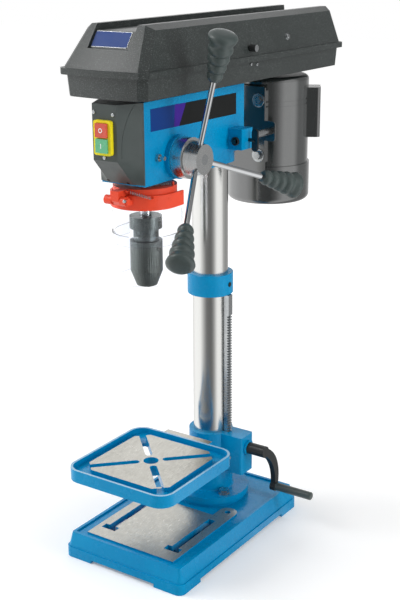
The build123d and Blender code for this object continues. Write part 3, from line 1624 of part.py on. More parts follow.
# Motor body: drawn shell with rounded shoulders, mounting foot against the plate
with BuildPart() as motor_body:
    with BuildSketch(Plane.XY.offset(motor_bottom)):
        with Locations((0, motor_y)):
            Circle(motor_radius)
    extrude(amount=motor_top - motor_bottom)
    fillet(motor_body.edges().group_by(Axis.Z)[-1], motor_shoulder)
    with BuildSketch(Plane.XY.offset(motor_bolt_low_z - motor_foot_reach)):
        with Locations((0, (plate_rear + motor_y) / 2)):
            Rectangle(2 * motor_foot_half_width, motor_y - plate_rear)
    extrude(amount=motor_bolt_high_z - motor_bolt_low_z + 2 * motor_foot_reach)
    for groove in motor_grooves:
        with BuildSketch(Plane.XY.offset(groove)):
            with Locations((0, motor_y)):
                Circle(motor_radius + overrun)
                Circle(motor_radius - motor_groove_depth, mode=Mode.SUBTRACT)
        extrude(amount=motor_groove_width, mode=Mode.SUBTRACT)
    with BuildSketch(Plane.XY.offset(motor_top - motor_rotor_depth)):
        with Locations((0, motor_y)):
            Circle(rotor_radius + running_gap)
    extrude(amount=motor_rotor_depth + overrun, mode=Mode.SUBTRACT)
    with BuildSketch(front_plane(plate_rear + motor_bolt_reach)):
        for side in (-1, 1):
            for height in (motor_bolt_low_z, motor_bolt_high_z):
                with Locations((side * motor_bolt_x, height)):
                    Circle(motor_bolt_radius)
    extrude(amount=overrun + motor_bolt_reach, mode=Mode.SUBTRACT)

motor_body.part.label = "motor_body"
export_step(motor_body.part, "parts/motor_body.step")

# Fan cowl: a cup under the motor with slots in its floor
with BuildPart() as motor_cowl:
    with BuildSketch(Plane.XY.offset(cowl_bottom)):
        with Locations((0, motor_y)):
            Circle(cowl_radius)
    extrude(amount=cowl_height)
    fillet(motor_cowl.edges().group_by(Axis.Z)[0], cowl_fillet)
    with BuildSketch(Plane.XY.offset(motor_bottom)):
        with Locations((0, motor_y)):
            Circle(motor_radius)
    extrude(amount=overrun, mode=Mode.SUBTRACT)
    with BuildSketch(Plane.XY.offset(cowl_bottom + cowl_wall)):
        with Locations((0, motor_y)):
            Circle(cowl_radius - cowl_fillet)
    extrude(amount=motor_bottom - cowl_bottom, mode=Mode.SUBTRACT)
    with BuildSketch(Plane.XY.offset(cowl_bottom + cowl_fillet)):
        with Locations((0, motor_y)):
            Circle(cowl_radius - cowl_wall)
    extrude(amount=motor_bottom - cowl_bottom - cowl_fillet, mode=Mode.SUBTRACT)
    with BuildSketch(Plane.XY.offset(cowl_bottom - overrun)):
        with Locations((0, motor_y)):
            with PolarLocations(cowl_slot_circle, cowl_slot_count):
                SlotOverall(cowl_slot_length, cowl_slot_width)
    extrude(amount=2 * overrun, mode=Mode.SUBTRACT)

motor_cowl.part.label = "motor_cowl"
export_step(motor_cowl.part, "parts/motor_cowl.step")

# Capacitor box on the motor's right rear
capacitor_plane = Plane(
    origin=(0, motor_y, capacitor_bottom),
    x_dir=(cos(radians(capacitor_angle)), sin(radians(capacitor_angle)), 0),
    z_dir=(0, 0, 1),
)
with BuildPart() as capacitor_box:
    with BuildSketch(capacitor_plane):
        with Locations((motor_radius, 0)):
            RectangleRounded(2 * capacitor_depth, capacitor_width, capacitor_edge)
    extrude(amount=capacitor_length)
    with BuildSketch(Plane.XY.offset(motor_bottom)):
        with Locations((0, motor_y)):
            Circle(motor_radius)
    extrude(amount=motor_top - motor_bottom, mode=Mode.SUBTRACT)

capacitor_box.part.label = "capacitor_box"
export_step(capacitor_box.part, "parts/capacitor_box.step")

# Four hexagon bolts with washers that hold the motor to its plate
with BuildPart() as motor_bolts:
    for side in (-1, 1):
        for height in (motor_bolt_low_z, motor_bolt_high_z):
            with BuildSketch(front_plane(plate_rear + motor_bolt_reach)):
                with Locations((side * motor_bolt_x, height)):
                    Circle(motor_bolt_radius)
            extrude(amount=motor_bolt_reach + motor_plate_thickness)
            with BuildSketch(front_plane(motor_plate_y)):
                with Locations((side * motor_bolt_x, height)):
                    Circle(motor_bolt_head_radius + motor_washer_thickness)
            extrude(amount=motor_washer_thickness)
            with BuildSketch(front_plane(motor_plate_y - motor_washer_thickness)):
                with Locations((side * motor_bolt_x, height)):
                    RegularPolygon(motor_bolt_head_radius, 6)
            extrude(amount=motor_bolt_head_height)

motor_bolts.part.label = "motor_bolts"
export_step(motor_bolts.part, "parts/motor_bolts.step")

# Rotor shaft that carries the motor pulley
rotor_top = level_height(pulley_steps - 1) + pulley_step / 2
with BuildPart() as rotor_shaft:
    with BuildSketch(Plane.XY.offset(motor_top - motor_rotor_depth + body_gap)):
        with Locations((0, motor_y)):
            Circle(rotor_radius)
    extrude(amount=rotor_top - motor_top + motor_rotor_depth - body_gap)

rotor_shaft.part.label = "rotor_shaft"
export_step(rotor_shaft.part, "parts/rotor_shaft.step")

# Wing screw that locks the motor's slide bar
wing_centre_x = slide_block_reach + wing_stand + wing_width / 2
with BuildPart() as wing_screw:
    with BuildSketch(side_plane(slide_bar_x + slide_bar_radius + body_gap)):
        with Locations((wing_y, slide_bar_z)):
            Circle(wing_shank_radius)
    extrude(amount=wing_centre_x - slide_bar_x - slide_bar_radius)
    with BuildSketch(front_plane(wing_y + wing_thickness / 2)):
        with Locations((wing_centre_x, slide_bar_z)):
            SlotOverall(wing_height, wing_width, rotation=90)
    extrude(amount=wing_thickness)

wing_screw.part.label = "wing_screw"
export_step(wing_screw.part, "parts/wing_screw.step")

# Quill: bored sleeve with rack gaps behind and a thicker nose
quill_rack_first = feed_axis_z - quill_rack_below * tooth_pitch
with BuildPart() as quill:
    with BuildSketch(Plane.XY.offset(quill_bottom)):
        with Locations((0, -throat)):
            Circle(quill_radius)
    extrude(amount=quill_top - quill_bottom)
    with BuildSketch(Plane.XY.offset(quill_bottom)):
        with Locations((0, -throat)):
            Circle(quill_nose_radius)
    extrude(amount=quill_nose_height)
    with BuildSketch(Plane.XY.offset(quill_bottom - overrun)):
        with Locations((0, -throat)):
            Circle(spindle_radius + quill_head_room)
    extrude(amount=quill_top - quill_bottom + 2 * overrun, mode=Mode.SUBTRACT)
    with BuildSketch(Plane.XY.offset(quill_bottom - overrun)):
        with Locations((0, -throat)):
            Circle(quill_bearing_outer)
    extrude(amount=overrun + quill_bearing_height, mode=Mode.SUBTRACT)
    with BuildSketch(Plane.XY.offset(quill_top - quill_bearing_height)):
        with Locations((0, -throat)):
            Circle(quill_bearing_outer)
    extrude(amount=overrun + quill_bearing_height, mode=Mode.SUBTRACT)
    with BuildSketch(side_plane(-quill_rack_width / 2)):
        for gap in range(quill_rack_teeth):
            with Locations((-throat + quill_pitch_line, quill_rack_first + gap * tooth_pitch)):
                Polygon(*rack_gap_points(1), align=None)
    extrude(amount=quill_rack_width, mode=Mode.SUBTRACT)

quill.part.label = "quill"
export_step(quill.part, "parts/quill.step")

# Quill bearings at both ends
with BuildPart() as quill_bearings:
    for foot in (quill_bottom, quill_top - quill_bearing_height):
        with BuildSketch(Plane.XY.offset(foot)):
            with Locations((0, -throat)):
                Circle(quill_bearing_outer)
                Circle(spindle_radius + running_gap, mode=Mode.SUBTRACT)
        extrude(amount=quill_bearing_height)

quill_bearings.part.label = "quill_bearings"
export_step(quill_bearings.part, "parts/quill_bearings.step")

# Spindle: nose that takes the chuck, body through the quill, spline into the pulley's sleeve
spindle = turned(
    [
        (0, chuck_top - chuck_flange_height),
        (spindle_nose_radius, chuck_top - chuck_flange_height),
        (spindle_nose_radius, quill_bottom - body_gap),
        (spindle_radius, quill_bottom - body_gap),
        (spindle_radius, quill_top),
        (spindle_spline_radius, quill_top),
        (spindle_spline_radius, spindle_top),
        (0, spindle_top),
    ],
    spindle_plane,
    spindle_axis,
)
spindle.part.label = "spindle"
export_step(spindle.part, "parts/spindle.step")

# Chuck body: flange, neck and the core that the sleeve turns on
chuck_core_radius = chuck_neck_radius - jaw_proud
chuck_body = turned(
    [
        (spindle_nose_radius, chuck_top),
        (chuck_flange_radius, chuck_top),
        (chuck_flange_radius, chuck_top - chuck_flange_height),
        (chuck_neck_radius, chuck_top - chuck_flange_height),
        (chuck_neck_radius, chuck_sleeve_top + body_gap),
        (chuck_core_radius, chuck_sleeve_top + body_gap),
        (chuck_core_radius, chuck_taper_start),
        (chuck_bore_radius + jaw_proud, chuck_nose + jaw_proud),
        (chuck_bore_radius, chuck_nose + jaw_proud),
        (chuck_bore_radius, chuck_nose + jaw_length),
        (0, chuck_nose + jaw_length),
        (0, chuck_top - chuck_flange_height),
        (spindle_nose_radius, chuck_top - chuck_flange_height),
    ],
    spindle_plane,
    spindle_axis,
)
chuck_body.part.label = "chuck_body"
export_step(chuck_body.part, "parts/chuck_body.step")

# Knurled chuck sleeve
chuck_sleeve = turned(
    [
        (chuck_core_radius + running_gap, chuck_sleeve_top),
        (chuck_sleeve_radius, chuck_sleeve_top),
        (chuck_sleeve_radius, chuck_taper_start),
        (chuck_nose_radius, chuck_nose),
        (chuck_bore_radius + jaw_proud + body_gap, chuck_nose),
        (chuck_bore_radius + jaw_proud + body_gap, chuck_nose + jaw_proud - body_gap),
        (chuck_core_radius + running_gap, chuck_taper_start - body_gap),
    ],
    spindle_plane,
    spindle_axis,
)
chuck_sleeve.part.label = "chuck_sleeve"
export_step(chuck_sleeve.part, "parts/chuck_sleeve.step")


def chuck_jaw(index):
    """One jaw: a pin with a pointed end, standing in the chuck's bore."""
    angle = radians(90 + 120 * index)
    with BuildPart() as jaw:
        with BuildSketch(Plane.XY.offset(chuck_nose - jaw_proud)):
            with Locations((jaw_circle * cos(angle), -throat + jaw_circle * sin(angle))):
                Circle(jaw_radius)
        extrude(amount=jaw_length)
        chamfer(jaw.edges().group_by(Axis.Z)[0], jaw_radius / 2)
    return jaw


jaw_1 = chuck_jaw(0)
jaw_1.part.label = "jaw_1"
export_step(jaw_1.part, "parts/jaw_1.step")

jaw_2 = chuck_jaw(1)
jaw_2.part.label = "jaw_2"
export_step(jaw_2.part, "parts/jaw_2.step")

jaw_3 = chuck_jaw(2)
jaw_3.part.label = "jaw_3"
export_step(jaw_3.part, "parts/jaw_3.step")

# Feed shaft: left journal, pinion, right journal, stem for the hub
pinion_turn = degrees(quill_rack_phase / pinion_radius)
with BuildPart() as feed_shaft:
    with BuildSketch(feed_plane):
        with BuildLine():
            Polyline(
                (-head_half_width - spring_boss_length - spring_cap_depth + spring_cap_wall * 2, 0),
                (-head_half_width - spring_boss_length - spring_cap_depth + spring_cap_wall * 2, spring_stub_radius),
                (-head_half_width - spring_boss_length, spring_stub_radius),
                (-head_half_width - spring_boss_length, left_journal_radius),
                (-pinion_width / 2, left_journal_radius),
                (-pinion_width / 2, pinion_radius - tooth_module * dedendum_share),
                (pinion_width / 2, pinion_radius - tooth_module * dedendum_share),
                (pinion_width / 2, hub_shaft_radius),
                (feed_journal_start, hub_shaft_radius),
                (feed_journal_start, feed_journal_radius),
                (head_half_width + feed_boss_length, feed_journal_radius),
                (head_half_width + feed_boss_length, hub_shaft_radius),
                (hub_face_x, hub_shaft_radius),
                (hub_face_x, 0),
                close=True,
            )
        make_face()
    revolve(axis=feed_axis)
    with BuildSketch(side_plane(-pinion_width / 2)):
        with Locations((feed_axis_y, feed_axis_z)):
            with PolarLocations(0, pinion_teeth, start_angle=pinion_turn):
                Polygon(*tooth_points(pinion_radius, tooth_pitch / 4 - tooth_thinning), align=None)
    extrude(amount=pinion_width)

feed_shaft.part.label = "feed_shaft"
export_step(feed_shaft.part, "parts/feed_shaft.step")

# Depth ring round the shaft, with its lock knob
ring_start_x = head_half_width + feed_boss_length + body_gap
ring_end_x = ring_start_x + hub_ring_length
with BuildPart() as depth_ring:
    with BuildSketch(side_plane(ring_start_x)):
        with Locations((feed_axis_y, feed_axis_z)):
            Circle(hub_ring_radius)
            Circle(hub_shaft_radius + running_gap, mode=Mode.SUBTRACT)
    extrude(amount=hub_ring_length)
    knob_plane = Plane(
        origin=((ring_start_x + ring_end_x) / 2 + knob_offset, feed_axis_y, feed_axis_z),
        x_dir=(1, 0, 0),
        z_dir=(0, cos(radians(knob_angle)), sin(radians(knob_angle))),
    )
    with BuildSketch(knob_plane.offset(hub_ring_radius - knob_shank_radius)):
        Circle(knob_shank_radius)
    extrude(amount=knob_reach - knob_length - hub_ring_radius + knob_shank_radius)
    with BuildSketch(knob_plane.offset(knob_reach - knob_length)):
        Circle(knob_radius)
    extrude(amount=knob_length)

depth_ring.part.label = "depth_ring"
export_step(depth_ring.part, "parts/depth_ring.step")


# Spokes and grips leave the hub on a cone
def spoke_plane(index):
    """A plane at the hub's centre that looks out along one spoke."""
    turn = radians(spoke_start_angle + 360 * index / spoke_count)
    lean = radians(spoke_cone)
    out = (sin(lean), cos(lean) * sin(turn), cos(lean) * cos(turn))
    side = (0, cos(turn), -sin(turn))
    return Plane(origin=(spoke_hub_x, feed_axis_y, feed_axis_z), x_dir=side, z_dir=out)


with BuildPart() as feed_hub:
    with BuildSketch(feed_plane):
        with BuildLine():
            Polyline(
                (ring_end_x + body_gap, hub_shaft_radius),
                (ring_end_x + body_gap, hub_cone_radius),
                (hub_face_x, hub_face_radius),
                (hub_face_x, hub_shaft_radius),
                close=True,
            )
        make_face()
    revolve(axis=feed_axis)
    for index in range(spoke_count):
        with BuildSketch(spoke_plane(index).offset(spoke_root)):
            Circle(spoke_radius)
        extrude(amount=overrun, mode=Mode.SUBTRACT)

feed_hub.part.label = "feed_hub"
export_step(feed_hub.part, "parts/feed_hub.step")

grip_foot = spoke_reach - grip_length
with BuildPart() as feed_spokes:
    for index in range(spoke_count):
        with BuildSketch(spoke_plane(index).offset(spoke_root)):
            Circle(spoke_radius)
        extrude(amount=grip_foot + grip_length / 2 - spoke_root)

feed_spokes.part.label = "feed_spokes"
export_step(feed_spokes.part, "parts/feed_spokes.step")

# Grips: four swelling beads and a mushroom cap
with BuildPart() as feed_grips:
    for index in range(spoke_count):
        out_plane = spoke_plane(index)
        turned_plane = Plane(origin=out_plane.origin, x_dir=out_plane.x_dir, z_dir=out_plane.x_dir.cross(out_plane.z_dir))
        with BuildSketch(turned_plane):
            with BuildLine():
                for bead in range(grip_beads):
                    low = grip_foot + bead * grip_bead_length
                    high = low + grip_bead_length
                    low_radius = grip_root_radius + bead * grip_bead_growth
                    ThreePointArc(
                        (low_radius, low),
                        (low_radius + grip_bead_swell, (low + high) / 2),
                        (low_radius + grip_bead_growth, high),
                    )
                neck = grip_foot + grip_beads * grip_bead_length
                neck_radius = grip_root_radius + grip_beads * grip_bead_growth
                Line((neck_radius, neck), (grip_tip_radius, spoke_reach))
                ThreePointArc(
                    (grip_tip_radius, spoke_reach),
                    (grip_tip_radius * cos(pi / 6), spoke_reach + grip_cap_rise * sin(pi / 4)),
                    (grip_tip_radius / 2, spoke_reach + grip_cap_rise),
                )
                Line((grip_tip_radius / 2, spoke_reach + grip_cap_rise), (0, spoke_reach + grip_cap_rise))
                Line((0, spoke_reach + grip_cap_rise), (0, grip_foot + grip_length / 2))
                Line((0, grip_foot + grip_length / 2), (spoke_radius, grip_foot + grip_length / 2))
                Line((spoke_radius, grip_foot + grip_length / 2), (spoke_radius, grip_foot))
                Line((spoke_radius, grip_foot), (grip_root_radius, grip_foot))
            make_face()
        revolve(axis=Axis(out_plane.origin, out_plane.z_dir))

feed_grips.part.label = "feed_grips"
export_step(feed_grips.part, "parts/feed_grips.step")

# Return spring's cap on the left, and the flat spiral inside
cap_start_x = -head_half_width - spring_boss_length
with BuildPart() as spring_cap:
    with BuildSketch(side_plane(cap_start_x)):
        with Locations((feed_axis_y, feed_axis_z)):
            Circle(spring_cap_radius)
    extrude(amount=-spring_cap_depth)
    with BuildSketch(side_plane(cap_start_x)):
        with Locations((feed_axis_y, feed_axis_z)):
            Circle(spring_cap_radius - spring_cap_wall)
    extrude(amount=-spring_cap_depth + spring_cap_wall, mode=Mode.SUBTRACT)

spring_cap.part.label = "spring_cap"
export_step(spring_cap.part, "parts/spring_cap.step")

spiral_plane = Plane(
    origin=(cap_start_x - spring_cap_wall, feed_axis_y, feed_axis_z), x_dir=(0, 1, 0), z_dir=(1, 0, 0)
)
with BuildPart() as return_spring:
    with BuildSketch(spiral_plane):
        with BuildLine():
            for half in range(2 * spring_turns):
                near = spring_first_radius + spring_pitch * half / 2
                far = near + spring_pitch / 2
                sign = 1 if half % 2 == 0 else -1
                ThreePointArc(
                    (sign * near, 0),
                    ((sign * near - sign * far) / 2, (near + far) / 2 * sign),
                    (-sign * far, 0),
                )
        trace(line_width=spring_strip)
    extrude(amount=-spring_cap_depth + 3 * spring_cap_wall)

return_spring.part.label = "return_spring"
export_step(return_spring.part, "parts/return_spring.step")

# Guard clamp: a cup ring under the head, gripped on the quill's nose, with a lug for the hinge
ring_front_y = -throat - guard_ring_radius
pivot_y = -throat - guard_pivot_y


def round_point(angle, height, radius):
    """A point on a circle round the spindle, its angle counted from the front towards +X."""
    turn = radians(angle)
    return (radius * sin(turn), -throat - radius * cos(turn), height)


def round_plane(angle, height, radius):
    """A sketch plane on that circle that faces straight out."""
    turn = radians(angle)
    return Plane(
        origin=round_point(angle, height, radius),
        x_dir=(cos(turn), sin(turn), 0),
        z_dir=(sin(turn), -cos(turn), 0),
    )


with BuildPart() as guard_clamp:
    with BuildSketch(Plane.XY.offset(guard_ring_bottom)):
        with Locations((0, -throat)):
            Circle(guard_ring_radius)
    extrude(amount=guard_ring_top - guard_ring_bottom)
    with BuildSketch(Plane.XY.offset(guard_ring_bottom)):
        with Locations((0, -throat)):
            Circle(guard_ring_radius - guard_ring_wall)
    extrude(amount=guard_ring_top - guard_ring_bottom - guard_ring_plate, mode=Mode.SUBTRACT)
    with BuildSketch(Plane.XY.offset(guard_clamp_bottom)):
        with Locations((0, -throat)):
            Circle(guard_clamp_radius)
    extrude(amount=guard_clamp_height)
    with BuildSketch(side_plane(-guard_lug_left)):
        with BuildLine():
            Polyline(
                (pivot_y, guard_pivot_z - guard_knuckle_radius),
                (pivot_y + guard_knuckle_radius, guard_pivot_z),
                (pivot_y + guard_knuckle_radius, guard_band_top + body_gap),
                (ring_front_y + guard_ring_wall, guard_band_top + body_gap),
                (ring_front_y + guard_ring_wall, guard_ring_top),
                (pivot_y - guard_knuckle_radius, guard_ring_top),
                (pivot_y - guard_knuckle_radius, guard_pivot_z),
                close=True,
            )
        make_face()
    extrude(amount=guard_lug_left + guard_lug_right)
    with BuildSketch(side_plane(-guard_lug_left - overrun)):
        with Locations((pivot_y, guard_pivot_z)):
            Circle(guard_pin_radius)
    extrude(amount=guard_lug_left + guard_lug_right + 2 * overrun, mode=Mode.SUBTRACT)
    with BuildSketch(Plane.XY.offset(guard_clamp_bottom - overrun)):
        with Locations((0, -throat)):
            Circle(quill_nose_radius)
    extrude(amount=guard_clamp_height + 2 * overrun, mode=Mode.SUBTRACT)
    with BuildSketch(side_plane(-guard_pin_left)):
        with Locations((pivot_y, guard_pivot_z)):
            Circle(guard_pin_radius)
    extrude(amount=guard_pin_left + guard_pin_right)
    with BuildSketch(side_plane(guard_pin_right)):
        with Locations((pivot_y, guard_pivot_z)):
            Circle(guard_pin_head_radius)
    extrude(amount=guard_pin_head_length)
    with BuildSketch(round_plane(front_peg_angle, front_peg_z, guard_ring_radius - guard_ring_wall)):
        Circle(guard_peg_radius)
    extrude(amount=front_peg_reach + 2 * guard_peg_radius - guard_ring_radius + guard_ring_wall)
    with BuildSketch(Plane.XY.offset(guard_ring_top - guard_ring_plate)):
        with Locations((top_peg_x, -throat - top_peg_y), (far_peg_x, -throat - far_peg_y)):
            Circle(guard_peg_radius)
    extrude(amount=guard_ring_plate + top_peg_height)

guard_clamp.part.label = "guard_clamp"
export_step(guard_clamp.part, "parts/guard_clamp.step")


def guard_plan(radius, height):
    """The guard's plan: a half round in front and straight legs behind."""
    with BuildSketch(Plane.XY.offset(height)) as plan:
        with Locations((0, -throat)):
            Circle(radius)
        with Locations((0, -throat + guard_band_straight)):
            Rectangle(2 * radius, 2 * guard_band_straight)
    return plan.sketch


# Guard band: painted hoop with two hinge knuckles
with BuildPart() as guard_band:
    add(guard_plan(guard_band_radius, guard_band_bottom))
    extrude(amount=guard_band_top - guard_band_bottom)
    for left, right in (
        (-guard_pin_left + body_gap, -guard_lug_left - body_gap),
        (guard_lug_right + body_gap, guard_pin_right - body_gap),
    ):
        with BuildSketch(side_plane(left)):
            with Locations((pivot_y, guard_pivot_z)):
                Circle(guard_knuckle_radius)
            with Locations((pivot_y / 2 + (-throat - guard_band_radius + guard_knuckle_radius) / 2, guard_pivot_z - guard_knuckle_radius / 2)):
                Rectangle(-throat - guard_band_radius + guard_knuckle_radius - pivot_y, guard_knuckle_radius)
        extrude(amount=right - left)
    with BuildSketch(Plane.XY.offset(guard_band_bottom - overrun)):
        with Locations((0, -throat)):
            Circle(guard_band_radius - guard_band_wall)
        with Locations((0, -throat + 2 * guard_band_straight)):
            Rectangle(2 * guard_band_radius - 2 * guard_band_wall, 4 * guard_band_straight)
    extrude(amount=guard_band_top - guard_band_bottom + 2 * overrun, mode=Mode.SUBTRACT)
    with BuildSketch(Plane.XY.offset(guard_band_bottom - overrun)):
        with Locations((0, -throat + guard_band_straight + overrun * 2)):
            Rectangle(4 * guard_band_radius, overrun * 4)
    extrude(amount=guard_band_top - guard_band_bottom + 2 * overrun, mode=Mode.SUBTRACT)
    with BuildSketch(side_plane(-guard_pin_left - overrun)):
        with Locations((pivot_y, guard_pivot_z)):
            Circle(guard_pin_radius + running_gap)
    extrude(amount=guard_pin_left + guard_pin_right + 2 * overrun, mode=Mode.SUBTRACT)
    with BuildSketch(round_plane(band_peg_angle, band_peg_z, guard_band_radius - guard_band_wall / 2)):
        Circle(guard_peg_radius)
    extrude(amount=band_peg_reach + 2 * guard_peg_radius - guard_band_radius + guard_band_wall / 2)

guard_band.part.label = "guard_band"
export_step(guard_band.part, "parts/guard_band.step")


def shield_wall_form(outer_radius, wall, bottom, top):
    """A clear wall with the guard's plan."""
    with BuildPart() as form:
        add(guard_plan(outer_radius, bottom))
        extrude(amount=top - bottom)
        with BuildSketch(Plane.XY.offset(bottom - overrun)):
            with Locations((0, -throat)):
                Circle(outer_radius - wall)
            with Locations((0, -throat + 2 * guard_band_straight)):
                Rectangle(2 * outer_radius - 2 * wall, 4 * guard_band_straight)
        extrude(amount=top - bottom + 2 * overrun, mode=Mode.SUBTRACT)
        with BuildSketch(Plane.XY.offset(bottom - overrun)):
            with Locations((0, -throat + guard_band_straight + overrun * 2)):
                Rectangle(4 * outer_radius, overrun * 4)
        extrude(amount=top - bottom + 2 * overrun, mode=Mode.SUBTRACT)
    return form


guard_shield = shield_wall_form(
    guard_band_radius - guard_band_wall, shield_wall, shield_bottom, guard_pivot_z - guard_knuckle_radius
)
guard_shield.part.label = "guard_shield"
export_step(guard_shield.part, "parts/guard_shield.step")

guard_extension = shield_wall_form(
    guard_band_radius - guard_band_wall + shield_wall + body_gap, shield_wall, extension_bottom, extension_top
)
guard_extension.part.label = "guard_extension"
export_step(guard_extension.part, "parts/guard_extension.step")


# Guard springs: two close-wound coils hooked between pegs
def coil(start, end, turns):
    """A wire coil along the line between two pegs, and the least air between its turns."""
    whole = Vector(*end) - Vector(*start)
    inset = guard_peg_radius + guard_spring_radius
    run = whole.length - 2 * inset
    foot = Vector(*start) + whole.normalized() * inset
    pitch = run / turns
    with BuildPart() as wire:
        with BuildLine() as line:
            Helix(
                pitch=pitch,
                height=run,
                radius=guard_spring_radius,
                center=tuple(foot),
                direction=tuple(whole.normalized()),
            )
        with BuildSketch(Plane(origin=line.line @ 0, z_dir=line.line % 0)):
            Circle(guard_spring_wire)
        sweep(is_frenet=True)
    return wire.part, pitch - 2 * guard_spring_wire


front_coil, front_air = coil(
    round_point(front_peg_angle, front_peg_z, front_peg_reach),
    round_point(band_peg_angle, band_peg_z, band_peg_reach),
    guard_spring_turns,
)
top_coil_z = guard_ring_top + guard_spring_radius + 2 * guard_spring_wire
top_coil, top_air = coil(
    (top_peg_x, -throat - top_peg_y, top_coil_z),
    (far_peg_x, -throat - far_peg_y, top_coil_z),
    guard_spring_turns,
)
print("least air between the guard springs' turns", round(min(front_air, top_air), 2))
with BuildPart() as guard_springs:
    add(front_coil)
    add(top_coil)

guard_springs.part.label = "guard_springs"
export_step(guard_springs.part, "parts/guard_springs.step")
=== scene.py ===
import json
import math

import bmesh
import bpy
from mathutils import Matrix, Vector


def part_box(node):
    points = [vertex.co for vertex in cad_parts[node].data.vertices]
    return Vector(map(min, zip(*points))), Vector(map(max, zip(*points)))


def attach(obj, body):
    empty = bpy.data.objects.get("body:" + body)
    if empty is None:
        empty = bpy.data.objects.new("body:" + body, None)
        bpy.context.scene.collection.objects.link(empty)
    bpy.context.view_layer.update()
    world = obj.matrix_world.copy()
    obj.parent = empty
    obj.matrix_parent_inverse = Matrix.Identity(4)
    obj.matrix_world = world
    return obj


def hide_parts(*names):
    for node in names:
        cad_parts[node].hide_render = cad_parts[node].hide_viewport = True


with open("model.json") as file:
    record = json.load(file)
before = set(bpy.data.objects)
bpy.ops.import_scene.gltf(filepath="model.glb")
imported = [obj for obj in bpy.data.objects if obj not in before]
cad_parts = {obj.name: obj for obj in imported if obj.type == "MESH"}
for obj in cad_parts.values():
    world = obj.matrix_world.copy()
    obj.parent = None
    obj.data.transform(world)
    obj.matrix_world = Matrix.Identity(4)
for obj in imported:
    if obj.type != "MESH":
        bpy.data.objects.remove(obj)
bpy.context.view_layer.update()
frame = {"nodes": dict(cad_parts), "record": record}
nodes = frame["nodes"]
scene = bpy.context.scene

MM = 0.001
LEVEL = 0.98  # a face whose normal has a larger z looks up
SIDES = 32

# Places on the part, in millimetres, and the spokes' angles in degrees
THROAT = 176
FEED_HUB = (76, -147.75, 668)
SPOKE_START, SPOKE_LEAN, SPOKE_COUNT = -10, 20, 3
LAND_LOW, LAND_HIGH, RIM_LOW, LUG_FRONT = 168.4, 169.6, 170, -76
PAD_Z, PAD_SIDE, PAD_FRONT, PAD_BACK = 42, 96, -246, -30
HEAD_SIDE = 40
PLATE_FACE_Y, PLATE_BOLT_X = 103.0, 29.0


# Camera
def make_camera():
    """The photograph's viewpoint, fitted on a frame of 400 by 600 px."""
    width, height, focal, centre_x, centre_y = 400, 600, 1130.662, 200.436, 300.035
    yaw, pitch, roll = math.radians(34.2538), math.radians(-17.6908), math.radians(-0.4052)
    eye = Vector((1010.884, -1514.312, 976.968)) * MM
    ahead = Vector((-math.sin(yaw) * math.cos(pitch), math.cos(yaw) * math.cos(pitch), math.sin(pitch)))
    right = Vector((math.cos(yaw), math.sin(yaw), 0))
    up = right.cross(ahead)
    level = right.copy()
    right = right * math.cos(roll) + up * math.sin(roll)
    up = up * math.cos(roll) - level * math.sin(roll)
    data = bpy.data.cameras.new("camera")
    data.sensor_fit = "AUTO"
    data.sensor_width = 36
    data.lens = focal / height * data.sensor_width
    data.clip_start, data.clip_end = 0.05, 50
    data.shift_x = -(centre_x - width / 2) / height
    data.shift_y = (centre_y - height / 2) / height
    camera = bpy.data.objects.new("camera", data)
    scene.collection.objects.link(camera)
    turn = Matrix((right, up, -ahead)).transposed().to_4x4()
    camera.matrix_world = Matrix.Translation(eye) @ turn
    scene.camera = camera


make_camera()


